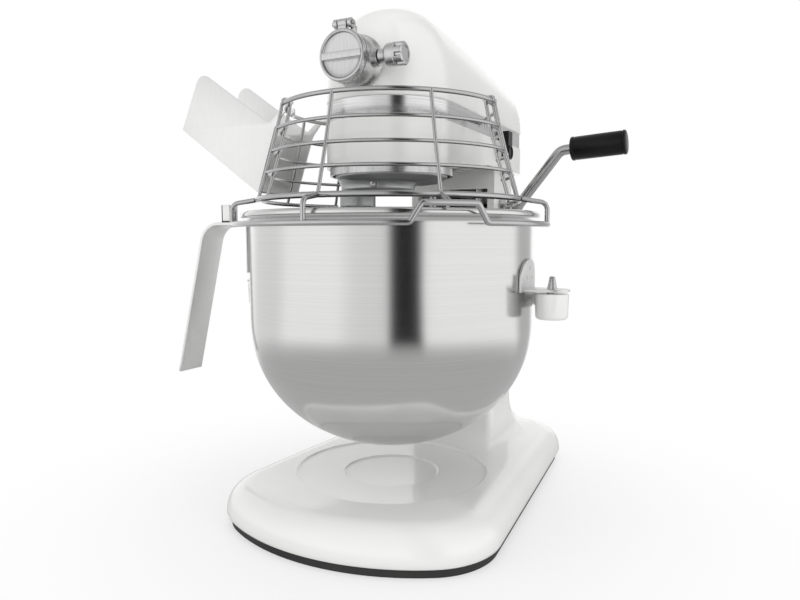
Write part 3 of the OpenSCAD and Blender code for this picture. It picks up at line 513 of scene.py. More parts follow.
def makeBrackets():
    parts = []
    for side in (1, -1):
        deselect()
        bpy.ops.mesh.primitive_grid_add(x_subdivisions=24, y_subdivisions=16, size=2)
        arch = bpy.context.object
        for vert in arch.data.vertices:
            u, v = vert.co.x, (vert.co.y + 1) / 2
            rise = max(0.0, (v - 0.3) / 0.7)
            y = u * bracket["halfWidth"] * math.sqrt(max(0.0, 1 - rise ** 2.4) + 0.0004)
            z = bracket["low"] + v * (bracket["high"] - bracket["low"])
            x = math.sqrt((bowl["radius"] + 0.3) ** 2 - y * y)
            vert.co = Vector((side * x, y, z)) * mm
        if side > 0:
            deselect()
            arch.select_set(True)
            bpy.context.view_layer.objects.active = arch
            bpy.ops.object.mode_set(mode="EDIT")
            bpy.ops.mesh.select_all(action="SELECT")
            bpy.ops.mesh.flip_normals()
            bpy.ops.object.mode_set(mode="OBJECT")
        outward = arch.data.polygons[0].normal.x * side
        addModifier(arch, "SOLIDIFY", thickness=bracket["thick"] * mm, offset=1.0 if outward > 0 else -1.0)
        softenEdges(arch, 0.5)
        parts.append(arch)
        inner = arcPoints(0, 0, bowl["radius"] + 0.4, 7, -7, 8)
        tip = arcPoints(bracket["padX"], 0, 13.5, -100, 100, 18)
        outline = [(side * x, y, bracket["flange"]) for x, y in inner + tip]
        parts.append(plate("flange", outline, (0, 0, bracket["thick"]), 0.4))
        for y, z in bracket["welds"]:
            weld = [(0.05, 0), (bracket["weldR"], 0), (bracket["weldR"], 0.3), (0.9, 0.42), (0.05, 0.1)]
            dot = turned("weld", weld, 20)
            x = math.sqrt((bowl["radius"] + 2.2) ** 2 - y * y)
            parts.append(laidOver(dot, (side * x, y, z), (side, 0, 0)))
    done(joinPieces("bowlBrackets", parts), "yoke", sheetSteel, ["bowl_brackets"], 40)
    pin = [(0.05, 176), (4, 176), (4, 193.5), (3.8, 194.4), (2.2, 203), (1.7, 203.9), (0.05, 204)]
    pins = [turned("pin", pin, 32, side * bracket["padX"]) for side in (1, -1)]
    done(joinPieces("locatingPins", pins), "yoke", machinedSteel, ["locating_pins"], 40)


# the strip welded under the rim that keeps the bowl from turning
def makeBowlStop():
    stop = bowlStop
    turn = math.radians(stop["angle"])
    middle = Vector(polarPoint(bowl["radius"] + 0.9, stop["angle"], 0))
    across = Vector((-math.sin(turn), math.cos(turn), 0))
    outward = middle.normalized()
    outline = []
    for u, v in ((-1, "low"), (1, "low"), (1, "high"), (-1, "high")):
        corner = middle + across * (u * stop["half"]) + Vector((0, 0, stop[v]))
        outline.append(tuple(corner - outward * 0.8))
    strip = plate("bowlStop", roundedOutline(outline, 1.5), outward * stop["thick"], 0.4)
    done(strip, "yoke", sheetSteel, smooth=40)


support = {"padR": 13.0, "padTop": 191.0, "padLow": 171.0, "armR": 131.5, "armW": 12.0, "armH": 14.0,
    "columnY": 134.0}


def makeSupport():
    r, low, top, armR = support["padR"], support["padLow"], support["padTop"], support["armR"]
    foot = [(0.05, low), (r - 4, low)] + arcPoints(r - 3.6, low + 3, 3, -90, -5, 5)
    profile = foot + [(r, top - 1.2)] + arcPoints(r - 1, top - 1, 1, 0, 90, 3) + [(0.05, top)]
    parts = []
    for side in (1, -1):
        parts.append(turned("pad", profile, 64, side * bracket["padX"]))
        line = [(side * (bracket["padX"] - 2), 0, low + 13)]
        for degrees in range(4, 72, 4):
            a = math.radians(degrees)
            line.append((side * (armR * math.cos(a)), armR * math.sin(a), low + 9 + 4 * math.cos(a) ** 8))
        parts.append(sweep("arm", line, slabSection(support["armH"], support["armW"], 3, 3)))
    y = support["columnY"]
    parts.append(block("crossbar", (-44, y - 10, 161), (44, y - 4, 211), 2.5, 3))
    parts.append(block("carriage", (-33, y - 6, 165), (33, y + 17, 209), 2, 3))
    done(joinPieces("bowlSupport", parts), "yoke", whitePaint, ["bowl_support"], 40)


print("bowl")
makeBowl()
makeHandle()
makeBrackets()
makeBowlStop()
makeSupport()


guard = {"lowR": 112.0, "topR": 92.0, "lowZ": 263.5, "topZ": 338.0, "cage": 2.8, "frame": 4.5,
    "bumpR": 131.0, "bumpZ": 243.6, "rise": 13.0, "gripFoot": 12.5, "gripTop": 9.0, "start": -131.0,
    "end": -3.0, "inset": 5.2, "knee": 16.5, "ringZ": (284.0, 301.0, 319.0), "middle": -45.0}


def domeRadius(z):
    t = (guard["topZ"] - z) / (guard["topZ"] - guard["lowZ"])
    return guard["topR"] + (guard["lowR"] - guard["topR"]) * max(t, 0) ** 1.15


def ribLine(angle, inset):
    zs = [guard["topZ"] + (guard["lowZ"] - guard["topZ"]) * i / 12 for i in range(13)]
    return [polarPoint(domeRadius(z) - inset, angle, z) for z in zs]


def makeGuardFront():
    g = guard
    cage, rod = roundSection(g["cage"]), roundSection(g["frame"], 16)
    parts = [sweep("ring", arcLine(domeRadius(z), z, g["start"], g["end"]), cage) for z in g["ringZ"]]
    parts.append(sweep("top", arcLine(g["topR"], g["topZ"], g["start"], g["end"]), roundSection(3.6)))
    parts.append(sweep("base", arcLine(g["lowR"], g["lowZ"], g["start"] - 6, g["end"] + 3), rod))
    ribs = (g["start"] + 1, -90, g["middle"], g["end"] - 1)
    parts += [sweep("rib", ribLine(a, -0.6), cage) for a in ribs]
    z0, z1, r, m = g["bumpZ"], g["bumpZ"] + g["rise"], g["bumpR"], g["middle"]
    line = arcLine(r, z0, -141, m - g["gripFoot"], 1.5)
    line += arcLine(r, z1, m - g["gripTop"], m + g["gripTop"], 1.5)
    line += arcLine(r, z0, m + g["gripFoot"], 5, 1.5)
    line = bentLine(line, 5.5, 15)
    parts.append(sweep("bumper", line, rod))
    post = roundSection(3.8)
    for a, ringA in ((-140, g["start"] - 5), (-90, -90), (4, g["end"] + 2)):
        corners = [polarPoint(r, a, z0 - 1), polarPoint(r, a, z0 + g["knee"])]
        corners.append(polarPoint(g["lowR"] + 1.5, ringA, g["lowZ"] - 0.5))
        parts.append(sweep("post", bentLine(corners, 6, 10), post, side=polarPoint(1, a, 0)))
    parts.append(sweep("stay", [polarPoint(r - 0.5, m, z1), polarPoint(g["lowR"], m, g["lowZ"])], post))
    for a in (g["start"] + 3.5, g["end"] - 3.5):
        high = g["topZ"] + 2.9
        clip = [(g["topR"] + 1.6, g["topZ"] - 1.2), (g["topR"] + 1.6, high),
            (g["topR"] - g["inset"] - 2, high)]
        line = bentLine([polarPoint(x, a, z) for x, z in clip], 1.6, 20)
        parts.append(sweep("clip", line, slabSection(3.2, 1.2, 0.3, 2), side=polarPoint(1, a + 90, 0)))
    done(joinPieces("guardFront", parts), "front_guard", wireSteel, ["guard_front"], 50)


def makeGuardRear():
    g = guard
    cage = roundSection(g["cage"])
    parts = []
    for start, end, middleRib in ((-213, -126, -180), (-8, 42, 4)):
        for z in g["ringZ"]:
            parts.append(sweep("ring", arcLine(domeRadius(z) - g["inset"], z, start, end), cage))
        parts.append(sweep("base", arcLine(g["lowR"] - g["inset"], g["lowZ"], start, end), roundSection(3.5)))
        parts.append(sweep("top", arcLine(g["topR"] - g["inset"], g["topZ"], start, end), roundSection(3.2)))
        parts += [sweep("rib", ribLine(a, g["inset"] - 0.5), cage) for a in (start + 1, end - 1, middleRib)]
    for side, a in ((-1, -212), (1, 41)):
        line = [polarPoint(g["topR"] - g["inset"], a, g["topZ"]), (side * 54.2, 66, g["topZ"] - 4)]
        parts.append(sweep("stay", line, roundSection(2.6)))
    done(joinPieces("guardRear", parts), "frame", wireSteel, ["guard_rear"], 50)


print("guard")
makeGuardFront()
makeGuardRear()


base = {"cornerR": 60.0, "cornerX": 58.0, "cornerY": -56.0, "bowR": 174.0, "rearR": 49.0, "rearX": 53.0,
    "rearY": 182.0, "top": 33.0, "strip": 6.0, "round": 24.0, "dish": 83.0, "step": 1.6, "footZ": 72.0,
    "flare": 62.0}
column = {"half": 45.0, "front": 134.0, "rear": 214.0, "corner": 26.0, "frontCorner": 6.0}


# outline of the base seen from above, shrunk evenly, as points spaced along it
def baseOutline(shrink, count=192):
    b = base
    gap = b["bowR"] - b["cornerR"]
    bowY = b["cornerY"] + math.sqrt(gap ** 2 - b["cornerX"] ** 2)
    bowTurn = math.degrees(math.atan2(b["cornerY"] - bowY, b["cornerX"]))
    run = b["rearY"] - b["cornerY"]
    side = math.degrees(math.asin((b["cornerR"] - b["rearR"] + b["cornerX"] - b["rearX"]) / run))
    half = arcPoints(0, bowY, b["bowR"] - shrink, -90, bowTurn, 24)
    half += arcPoints(b["cornerX"], b["cornerY"], b["cornerR"] - shrink, bowTurn, side, 24)[1:]
    half += arcPoints(b["rearX"], b["rearY"], b["rearR"] - shrink, side, 90, 24)
    loop = half + [(-x, y) for x, y in half[::-1]]
    return spaced(loop, count)


def columnOutline(shrink=0.0, count=192):
    c = column
    h, r, f = c["half"], c["corner"], c["frontCorner"]
    half = [(0, c["front"] + shrink)] + arcPoints(h - f, c["front"] + f, f - min(shrink, f - 1), -90, 0, 6)
    half = [(min(x, h - shrink), y) for x, y in half]
    half += arcPoints(h - r, c["rear"] - r, r - shrink, 0, 90, 12) + [(0, c["rear"] - shrink)]
    loop = half + [(-x, y) for x, y in half[::-1]]
    return spaced(loop, count)


# the same closed line as evenly spaced points, starting at the front middle
def spaced(loop, count):
    loop = [Vector((x, y)) for x, y in loop]
    lengths = [(b - a).length for a, b in zip(loop, loop[1:] + loop[:1])]
    total = sum(lengths)
    points = []
    i = 0
    used = 0.0
    for k in range(count):
        want = total * k / count
        while used + lengths[i] < want:
            used += lengths[i]
            i += 1
        share = (want - used) / max(lengths[i], 1e-9)
        points.append(loop[i].lerp(loop[(i + 1) % len(loop)], share))
    return points


def makeBase():
    b = base
    rings = []
    for shrink, rise in ((30, 8), (16, 6), (15, 0), (3.2, 0), (1.2, 1.2), (0, 4)):
        rings.append([(p.x, p.y, b["strip"] + rise) for p in baseOutline(shrink)])
    for i in range(1, 13):
        a = math.radians(i * 90 / 12)
        z = b["strip"] + 4 + (b["top"] - b["strip"] - 4) * math.sin(a) ** 0.9
        rings.append([(p.x, p.y, z) for p in baseOutline(b["round"] * (1 - math.cos(a)))])
    outer, inner = baseOutline(b["round"]), columnOutline()
    steps = 26
    for i in range(1, steps + 1):
        t = i / steps
        ring = []
        for p, q in zip(outer, inner):
            reach = (p - q).length
            point = p.lerp(q, 1 - (1 - t) ** 1.5)
            flare = min(b["flare"], max(reach * 0.95, 22.0))
            near = max(0.0, 1 - (point - q).length / flare)
            rise = 1 - math.sqrt(max(0.0, 1 - near ** 2))
            ring.append((point.x, point.y, b["top"] + (b["footZ"] - 6 - b["top"]) * rise))
        rings.append(ring)
    for z, d in ((b["footZ"] - 1.2, 0.0), (b["footZ"] - 0.4, 0.6), (b["footZ"] - 0.2, 3.0)):
        rings.append([(p.x, p.y, z) for p in columnOutline(d)])
    casting = drawSkin("baseCasting", rings, "flat", "flat")
    for radius, low in ((b["dish"], b["top"] - b["step"]), (b["dish"] / 2, b["top"] - 2 * b["step"])):
        edge = arcPoints(radius - 3, low + 3, 3, -90, -35, 4)
        over = [(radius + 2, low + 6), (radius + 2, low + 30), (0.05, low + 30)]
        cutter = turned("cutter", [(0.05, low), (radius - 3.0, low)] + edge + over, 144)
        addModifier(casting, "BOOLEAN", object=cutter, operation="DIFFERENCE", solver="EXACT")
        bpy.data.objects.remove(cutter)
    done(casting, "frame", whitePaint, ["base_casting"], 40)


head = {"half": 54.0, "rear": 212.0, "corner": 24.0, "cover": 341.0, "crown": 419.0, "crownRear": 393.0,
    "spineFront": 6.0, "spineRear": 178.0}


# outline of the head seen from above: a round front, straight sides and rounded rear corners
def headOutline(shrink, count=160):
    h = head
    half = arcPoints(0, 0, h["half"] - shrink, -90, 0, 24)
    rear = max(h["corner"] - shrink, 4.0)
    half += arcPoints(h["half"] - shrink - rear, h["rear"] - shrink - rear, rear, 0, 90, 14)
    half.append((0, h["rear"] - shrink))
    loop = half + [(-x, y) for x, y in half[::-1]]
    return spaced(loop, count)


def crownHeight(y):
    h = head
    return h["crown"] - (h["crown"] - h["crownRear"]) * max(0.0, (y - 8) / (h["rear"] - 8)) ** 1.45


def makeHead():
    h = head
    rings = []
    for shrink, rise in ((4.5, 3), (3.5, 0.15), (0.9, 0.15), (0.15, 0.9)):
        rings.append([(p.x, p.y, h["cover"] + rise) for p in headOutline(shrink)])
    outer = headOutline(0)
    steps = 22
    for i in range(0, steps + 1):
        a = math.radians(90 * i / steps)
        ring = []
        for p in outer:
            y = min(max(p.y, h["spineFront"]), h["spineRear"])
            centre = Vector((0, y))
            inward = math.cos(a) ** 0.80
            q = centre.lerp(p, max(inward, 0.02))
            lift = math.sin(a) ** 0.86
            top = crownHeight(max(q.y, 0))
            ring.append((q.x, q.y, h["cover"] + 2.0 + (top - h["cover"] - 2.0) * lift))
        rings.append(ring)
    cover = drawSkin("headCover", rings, "flat", "")
    closeSpine(cover)
    bore = turned("cutter", [(0.05, 0), (15, 0), (15, 60), (0.05, 60)], 64)
    bore = laidOver(bore, (0, -30, 366), (0, -1, 0))
    addModifier(cover, "BOOLEAN", object=bore, operation="DIFFERENCE", solver="EXACT")
    bpy.data.objects.remove(bore)
    window = block("cutter", (-30, h["rear"] - 14, h["cover"] + 4), (30, h["rear"] + 9, h["cover"] + 34), 3)
    addModifier(cover, "BOOLEAN", object=window, operation="DIFFERENCE", solver="EXACT")
    bpy.data.objects.remove(window)
    done(cover, "frame", whitePaint, ["head_cover"], 45)


# the last ring lies along the spine: its two sides are welded together
def closeSpine(piece):
    deselect()
    piece.select_set(True)
    bpy.context.view_layer.objects.active = piece
    bpy.ops.object.mode_set(mode="EDIT")
    mesh = bmesh.from_edit_mesh(piece.data)
    mesh.verts.ensure_lookup_table()
    top = [v for v in mesh.verts if v.is_boundary]
    for v in mesh.verts:
        v.select_set(False)
    for v in top:
        v.co.x = 0.0
        v.co.z = crownHeight(max(v.co.y / mm, 0)) * mm
        v.select_set(True)
    mesh.select_flush(True)
    bmesh.update_edit_mesh(piece.data)
    bpy.ops.mesh.remove_doubles(threshold=0.0002)
    bpy.ops.mesh.select_all(action="SELECT")
    bpy.ops.mesh.dissolve_degenerate(threshold=0.00002)
    bpy.ops.mesh.select_all(action="DESELECT")
    bpy.ops.mesh.select_non_manifold(extend=False)
    mesh = bmesh.from_edit_mesh(piece.data)
    if any(v.select for v in mesh.verts):
        bpy.ops.mesh.fill_holes(sides=0)
    bpy.ops.mesh.select_all(action="SELECT")
    bpy.ops.mesh.normals_make_consistent(inside=False)
    bpy.ops.object.mode_set(mode="OBJECT")


print("base and head")
makeBase()
makeHead()


hub = {"z": 366.0, "flange": 12.06, "knobY": -63.0, "hingeY": -76.0, "hingeZ": 389.0, "bar": 2.6,
    "notches": 8, "notchR": 9.0}


# a turned shape whose profile closes on itself, as a tube's wall does
def turnedTube(name, profile, count=96):
    piece = turned(name, profile + [profile[0]], count, startCap="", endCap="")
    deselect()
    piece.select_set(True)
    bpy.context.view_layer.objects.active = piece
    bpy.ops.object.mode_set(mode="EDIT")
    bpy.ops.mesh.select_all(action="SELECT")
    bpy.ops.mesh.remove_doubles(threshold=0.000001)
    bpy.ops.mesh.normals_make_consistent(inside=False)
    bpy.ops.object.mode_set(mode="OBJECT")
    return piece


def knuckle(x0, x1, radius=3.4):
    e = 0.4
    profile = [(0.05, x0), (radius - e, x0), (radius, x0 + e), (radius, x1 - e), (radius - e, x1), (0.05, x1)]
    return laidOver(turned("knuckle", profile, 32), (0, hub["hingeY"], hub["hingeZ"]), (1, 0, 0))


def makeHub():
    h = hub
    wall = [(15.5, 40), (17, 40), (17, 53.5), (20.6, 54.2), (20.2, 56.5), (19.2, 58.5), (19, 61), (19, 72.6),
        (18.7, 73.5), (18, 74), (15.2, 74), (14.5, 73.4), (14.5, 53), (h["flange"], 53), (h["flange"], 40)]
    parts = [laidOver(turnedTube("barrel", wall), (0, 0, h["z"]), (0, -1, 0))]
    boss = [(0.05, 16), (6, 16), (7.6, 17), (7, 19), (7, 22.2), (6.4, 23), (0.05, 23)]
    parts.append(laidOver(turned("boss", boss, 48), (0, h["knobY"], h["z"]), (1, 0, 0)))
    for x in (-7.5, 4.5):
        parts.append(block("ear", (x, -74, h["z"] + 16), (x + 3, -68.5, h["hingeZ"] - 1), 0.7))
        parts.append(block("ear", (x, -77.5, h["hingeZ"] - 3), (x + 3, -70, h["hingeZ"] + 1.5), 1.2))
        parts.append(knuckle(x, x + 3))
    done(joinPieces("hubBarrel", parts), "frame", satinSteel, ["hub_barrel"], 35)

    disc = [(0.05, 74.3), (18, 74.3), (18.8, 74.8), (19, 75.6), (19, 78.8), (18.7, 79.7), (18, 80.2),
        (17.2, 80.3), (16.5, 79.9), (16.2, 79.0), (15.6, 78.5), (13, 78.0), (9, 77.6), (4, 77.4),
        (0.05, 77.35)]
    parts = [laidOver(turned("disc", disc, 96), (0, 0, h["z"]), (0, -1, 0))]
    parts.append(block("bar", (-16.7, -80.7, h["z"] - h["bar"]), (16.7, -76.8, h["z"] + h["bar"]), 0.5, 3))
    parts.append(block("lug", (-3.5, -78.6, h["z"] + 16), (3.5, -74.4, h["hingeZ"] - 0.5), 0.7))
    parts.append(knuckle(-3.5, 3.5))
    done(joinPieces("hubCap", parts), "cap", satinSteel, ["hub_cap"], 35)

    profile = [(0.05, 15), (3, 15), (3, 23.4), (5.3, 23.7), (5.1, 25.6), (4.1, 28.4), (6.4, 28.8),
        (7.9, 29.6), (8.5, 31), (8.5, 36.6), (8.0, 37.1), (8.0, 37.9), (8.5, 38.4), (8.5, 42.6), (8.2, 43.5),
        (7.4, 44), (5.6, 44), (5.2, 43.4), (0.05, 43.4)]
    knob = turned("knob", profile, 72)
    notch = [(0.05, 38.6), (1.7, 38.6), (1.7, 48), (0.05, 48)]
    for i in range(h["notches"]):
        a = 2 * math.pi * (i + 0.3) / h["notches"]
        cutter = turned("cutter", notch, 20, h["notchR"] * math.cos(a), h["notchR"] * math.sin(a))
        addModifier(knob, "BOOLEAN", object=cutter, operation="DIFFERENCE", solver="EXACT")
        bpy.data.objects.remove(cutter)
    knob = laidOver(knob, (0, h["knobY"], h["z"]), (1, 0, 0))
    done(knob, "clamp_knob", satinSteel, ["hub_knob"], 35)


planet = {"top": 289.0, "r": 47.0, "orbit": 28.5, "angle": 206.667, "boss": 258.0, "bossR": 15.0,
    "skirtR": 31.0, "skirtZ": 271.0, "journal": 6.06, "screwAngle": -68}


def makePlanetary():
    p = planet
    bx, by, level = polarPoint(p["orbit"], p["angle"], 0)
    share = (p["orbit"] / 2 - 3) / p["orbit"]
    top, r = p["top"], p["r"]
    disc = [(0.05, top), (r - 0.8, top), (r, top - 0.8), (r, top - 5), (r - 0.5, top - 6.2)]
    disc += [(r - 6.5, top - 9.6), (r - 8, top - 10), (0.05, top - 10)]
    parts = [turned("disc", disc, 96)]
    k, z = p["skirtR"], p["skirtZ"]
    profile = [(0.05, top - 8), (k + 2.5, top - 8), (k + 1, top - 11), (k, top - 14), (k, z + 3)]
    profile += arcPoints(k - 3, z + 3, 3, -10, -90, 5) + [(0.05, z)]
    parts.append(turned("skirt", profile, 80, bx * share, by * share))
    s, z = p["bossR"], p["boss"]
    wall = [(s + 2.2, p["skirtZ"] + 1), (s + 0.8, p["skirtZ"] - 1), (s, p["skirtZ"] - 3), (s, z + 2)]
    wall += arcPoints(s - 2, z + 2, 2, -10, -90, 4)
    wall += [(p["journal"] + 1, z), (p["journal"], z + 1), (p["journal"], p["skirtZ"] + 1)]
    boss = turnedTube("boss", wall, 64)
    for vert in boss.data.vertices:
        vert.co += Vector((bx, by, level)) * mm
    parts.append(boss)
    done(joinPieces("planetary", parts), "planet_carrier", castMetal, ["planetary"], 35)
    heads = []
    a = math.radians(p["screwAngle"])
    for x, y, reach, z, size in ((bx * share, by * share, k - 0.8, 276.5, 3.4), (0, 0, r - 0.8, 285.6, 1.7)):
        screw = [(0.05, 0), (size, 0), (size, 0.9), (size * 0.82, 1.7), (size * 0.45, 1.9),
            (size * 0.42, 1.2), (0.05, 1.2)]
        place = (x + reach * math.cos(a), y + reach * math.sin(a), z)
        heads.append(laidOver(turned("screw", screw, 32), place, (math.cos(a), math.sin(a), 0)))
    done(joinPieces("planetScrewHeads", heads), "planet_carrier", machinedSteel, smooth=30)


lever = {"y": 158.0, "z": 262.0, "rod": 10.0, "shaft": 12.0, "crank": 21.78, "crankUp": 40.0,
    "out": (65, 158, 268.5), "bend": (104, 158, 318), "gripX": 114.6, "gripZ": 319.0, "tilt": 86.0,
    "gripR": 11.5, "gripLength": 52.0}


def makeLever():
    v = lever
    ahead = Vector((math.sin(math.radians(v["tilt"])), 0, math.cos(math.radians(v["tilt"]))))
    start = Vector((v["gripX"], v["y"], v["gripZ"]))
    corners = [(50, v["y"], v["z"]), (61, v["y"], v["z"]), v["out"], v["bend"], start + ahead * 0.2]
    rod = sweep("rod", bentLine(corners, 12, 6), roundSection(v["rod"], 24), side=(0, 1, 0))
    r = v["shaft"] / 2
    profile = [(0.05, -8), (r - 0.6, -8), (r, -7.4), (r, 56), (r - 1, 57), (0.05, 57)]
    shaft = laidOver(turned("shaft", profile, 48), (0, v["y"], v["z"]), (1, 0, 0))
    turn = math.radians(v["crankUp"])
    along, up = Vector((0, math.cos(turn), math.sin(turn))), Vector((0, -math.sin(turn), math.cos(turn)))
    hubPoint = Vector((-8, v["y"], v["z"]))
    tip = hubPoint + along * v["crank"]
    ends = arcPoints(0, 0, r, 90, 270, 12) + arcPoints(v["crank"], 0, r, -90, 90, 12)
    outline = [hubPoint + along * x + up * y for x, y in ends]
    arm = plate("arm", [tuple(q) for q in outline], (6, 0, 0), 0.5)
    pin = laidOver(turned("pin", [(0.05, -8), (2.6, -8), (3, -7.6), (3, 1), (0.05, 1)], 32), tip, (1, 0, 0))
    rod = joinPieces("leverRod", [rod, shaft, arm, pin])
    done(rod, "lever", wireSteel, ["lever_rod"], 40)
    g, n = v["gripR"], v["gripLength"]
    profile = [(0.05, 0), (g - 2.2, 0), (g - 0.7, 0.5), (g, 1.4), (g, 2.8), (g - 0.7, 3.4), (g - 0.3, 4.4),
        (g - 0.25, n / 2), (g - 0.3, n - 4.4), (g - 0.7, n - 3.4), (g, n - 2.8), (g, n - 1.4),
        (g - 0.7, n - 0.5), (g - 2.2, n), (0.05, n)]
    grip = laidOver(turned("leverGrip", profile, 72), start, ahead)
    done(grip, "lever", gripPlastic, ["lever_grip"], 40)


chute = {"half": 30.0, "sheet": 1.5, "low": (-203.0, 333.0), "inner": (-117.0, 272.6),
    "tip": (-180.0, 384.0), "tipR": 9.0, "shoulder": (-104.0, 332.0), "hookX": -81.46, "hookZ": 339.9}


def makeChute():
    c = chute
    x, z = c["hookX"], c["hookZ"]
    hook = [(x - 10, z + 2.5), (x + 4.4, z + 2.5), (x + 4.4, z - 6), (x + 2.4, z - 6), (x + 2.4, z),
        (x - 6, z)]
    corners = [c["low"], c["tip"], c["shoulder"]] + hook + [(-98, 327.5), c["inner"]]
    radii = [2.0, c["tipR"], 3.0, 2.0, 1.6, 0.5, 0.5, 0.8, 1.0, 2.0, 2.0]
    parts = []
    for y in (-c["half"], c["half"] - c["sheet"]):
        outline = roundedOutline([(a, y, b) for a, b in corners], radii)
        parts.append(plate("side", outline, (0, c["sheet"], 0), 0.25))
    (a0, b0), (a1, b1) = c["low"], c["inner"]
    floor = [(a0 + 0.6, b0 + 0.2), (a1, b1), (a1 + 1.0, b1 + 1.4), (a0 + 1.4, b0 + 1.6)]
    outline = [(a, -c["half"] + 0.3, b) for a, b in floor]
    parts.append(plate("floor", outline, (0, 2 * c["half"] - 0.6, 0), 0.3))
    done(joinPieces("pouringChute", parts), "pouring_chute", sheetSteel, ["chute"], 35)


print("hub, planetary, lever, chute")
makeHub()
makePlanetary()
makeLever()
makeChute()
cameraSet = {"place": (0.2672, -0.5176, 0.2332), "turn": 26.6, "tilt": 5.2, "lens": 30.73}
bpy.ops.object.camera_add(location=cameraSet["place"],
    rotation=(math.radians(90 - cameraSet["tilt"]), 0, math.radians(cameraSet["turn"])))
camera = bpy.context.object
camera.data.lens = cameraSet["lens"]
camera.data.sensor_width = 36
camera.data.clip_start = 0.01
bpy.context.scene.camera = camera

# each dark slot of the room: its middle from the camera's heading, its full and its
# faded half width in degrees, and how much light is left in it
darkSlots = ((11, 8, 15, 0.0), (-12, 4, 30, 0.8), (-112, 10, 30, 0.8), (130, 8, 22, 0.5))


# how light the room is in a direction, as a share: dark in the slots
def makeSlotGroup():
    group, gin, gout = newGroup("roomSlots", [("Vector", "NodeSocketVector", None)],
        [("Light", "NodeSocketFloat")])
    link = group.links.new
    flat = put(group, "ShaderNodeVectorMath", operation="MULTIPLY")
    flat.inputs[1].default_value = (1, 1, 0)
    unit = put(group, "ShaderNodeVectorMath", operation="NORMALIZE")
    link(gin.outputs["Vector"], flat.inputs[0])
    link(flat.outputs[0], unit.inputs[0])
    light = None
    for offset, full, edge, dim in darkSlots:
        facing = put(group, "ShaderNodeVectorMath", operation="DOT_PRODUCT")
        angle = math.radians(cameraSet["turn"] - 90 + offset)
        facing.inputs[1].default_value = (math.cos(angle), math.sin(angle), 0)
        shade = put(group, "ShaderNodeMapRange", interpolation_type="SMOOTHSTEP")
        shade.inputs["From Min"].default_value = math.cos(math.radians(edge))
        shade.inputs["From Max"].default_value = math.cos(math.radians(full))
        shade.inputs["To Min"].default_value = 1.0
        shade.inputs["To Max"].default_value = dim
        link(unit.outputs[0], facing.inputs[0])
        link(facing.outputs["Value"], shade.inputs["Value"])
        if light is None:
            light = shade.outputs["Result"]
        else:
            both = put(group, "ShaderNodeMath", operation="MULTIPLY")
            link(light, both.inputs[0])
            link(shade.outputs["Result"], both.inputs[1])
            light = both.outputs[0]
    link(light, gout.inputs["Light"])
    return group


roomSlots = makeSlotGroup()


def ramped(tree, value, low, high, start, end):
    node = put(tree, "ShaderNodeMapRange", interpolation_type="SMOOTHSTEP")
    for key, amount in (("From Min", low), ("From Max", high), ("To Min", start), ("To Max", end)):
        node.inputs[key].default_value = amount
    tree.links.new(value, node.inputs["Value"])
    return node.outputs["Result"]


def picked(tree, choice, start, end):
    node = put(tree, "ShaderNodeMix", data_type="FLOAT")
    tree.links.new(choice, node.inputs["Factor"])
    for key, value in (("A", start), ("B", end)):
        if isinstance(value, (int, float)):
            node.inputs[key].default_value = value
        else:
            tree.links.new(value, node.inputs[key])
    return node.outputs["Result"]


def times(tree, a, b):
    node = put(tree, "ShaderNodeMath", operation="MULTIPLY")
    tree.links.new(a, node.inputs[0])
    if isinstance(b, (int, float)):
        node.inputs[1].default_value = b
    else:
        tree.links.new(b, node.inputs[1])
    return node.outputs[0]


# a pale floor that glows: near the object partly lit and partly glowing, a painted light that thins its
# shadow, plain white far off, and in reflections a painted reflection, dark underneath and light far off
floorSet = {"radius": 6.0, "near": 0.08, "far": 0.42, "least": 0.45, "fill": 0.75, "under": 0.55,
    "beyond": 1.15, "underR": 0.35, "beyondR": 0.9}
bpy.ops.mesh.primitive_circle_add(vertices=96, radius=floorSet["radius"], fill_type="NGON",
    location=(0, 0, -0.0002))
floor = bpy.context.object
floor.name = "studioFloor"
floorPaint, tree, floorShader = newMaterial("floorPaint")
floorShader.inputs["Base Color"].default_value = (0.95, 0.95, 0.95, 1)
floorShader.inputs["Roughness"].default_value = 0.5
coords = put(tree, "ShaderNodeTexCoord")
away = put(tree, "ShaderNodeVectorMath", operation="LENGTH")
path = put(tree, "ShaderNodeLightPath")
slot = placeGroup(tree, roomSlots)
tree.links.new(coords.outputs["Object"], away.inputs[0])
tree.links.new(coords.outputs["Object"], slot.inputs["Vector"])
# near the object the floor keeps at least this share of glow: painted light over its own shadow
fade = ramped(tree, away.outputs["Value"], floorSet["near"], floorSet["far"], floorSet["least"], 1)
farOff = ramped(tree, away.outputs["Value"], floorSet["underR"], floorSet["beyondR"], 0, 1)
# what reflections see: a painted reflection, a dim glow under the object and a light glow far off
mirrored = picked(tree, farOff, floorSet["under"], times(tree, slot.outputs["Light"], floorSet["beyond"]))
glow = put(tree, "ShaderNodeEmission")
blend = put(tree, "ShaderNodeMixShader")
# to rays other than camera and glossy ones the floor glows at the fill level: painted fill light
direct = picked(tree, path.outputs["Is Camera Ray"], floorSet["fill"], 1.0)
tree.links.new(picked(tree, path.outputs["Is Glossy Ray"], direct, mirrored), glow.inputs["Strength"])
tree.links.new(picked(tree, path.outputs["Is Glossy Ray"], fade, 1.0), blend.inputs["Fac"])
tree.links.new(floorShader.outputs["BSDF"], blend.inputs[1])
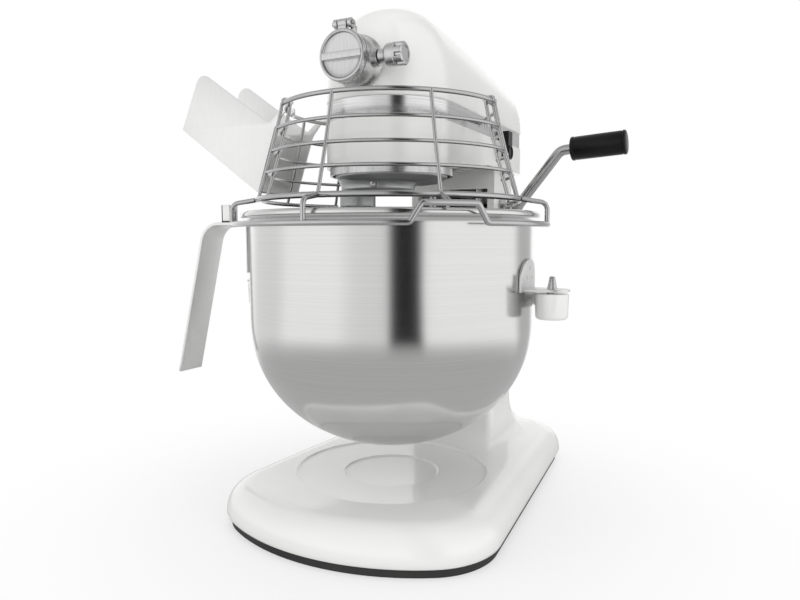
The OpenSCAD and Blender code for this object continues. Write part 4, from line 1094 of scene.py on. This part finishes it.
tree.links.new(glow.outputs["Emission"], blend.inputs[2])
tree.links.new(blend.outputs["Shader"], tree.nodes["Material Output"].inputs["Surface"])
floor.data.materials.append(floorPaint)

# the room: pale overhead and a little greyer at the sides
roomSet = {"side": 0.80, "top": 0.85, "mirrorSide": 1.2, "mirrorTop": 0.7}
world = bpy.data.worlds.new("studioRoom")
bpy.context.scene.world = world
world.use_nodes = True
tree = world.node_tree
back = tree.nodes["Background"]
coords = put(tree, "ShaderNodeTexCoord")
parts = put(tree, "ShaderNodeSeparateXYZ")
path = put(tree, "ShaderNodeLightPath")
slot = placeGroup(tree, roomSlots)
tree.links.new(coords.outputs["Generated"], parts.inputs[0])
tree.links.new(coords.outputs["Generated"], slot.inputs["Vector"])
soft = ramped(tree, parts.outputs["Z"], 0.05, 0.75, roomSet["side"], roomSet["top"])
sharp = ramped(tree, parts.outputs["Z"], 0.15, 0.85, roomSet["mirrorSide"], roomSet["mirrorTop"])
sharp = times(tree, sharp, slot.outputs["Light"])
unseen = picked(tree, path.outputs["Is Glossy Ray"], soft, sharp)
tree.links.new(picked(tree, path.outputs["Is Camera Ray"], unseen, 1.0), back.inputs["Strength"])
back.inputs["Color"].default_value = (1, 1, 1, 1)


def softbox(name, place, aim, size, power):
    bpy.ops.object.light_add(type="AREA", location=place)
    lamp = bpy.context.object
    lamp.name = name
    lamp.data.shape = "RECTANGLE"
    lamp.data.size, lamp.data.size_y = size
    lamp.data.energy = power
    lamp.visible_glossy = False
    lamp.rotation_euler = (Vector(aim) - Vector(place)).to_track_quat("-Z", "Y").to_euler()


softbox("leftBox", (-1.3, -1.1, 0.8), (0, 0, 0.2), (0.9, 1.4), 3)
softbox("rightBox", (1.4, -0.5, 0.6), (0, 0, 0.2), (0.8, 1.2), 3.5)
softbox("frontBox", (0.5, -1.7, 0.35), (0, 0, 0.2), (1.2, 0.8), 4)
softbox("topBox", (0, 0.1, 1.8), (0, 0, 0.2), (1.4, 1.4), 2)
bpy.context.scene.view_settings.view_transform = "Standard"
print("studio set")
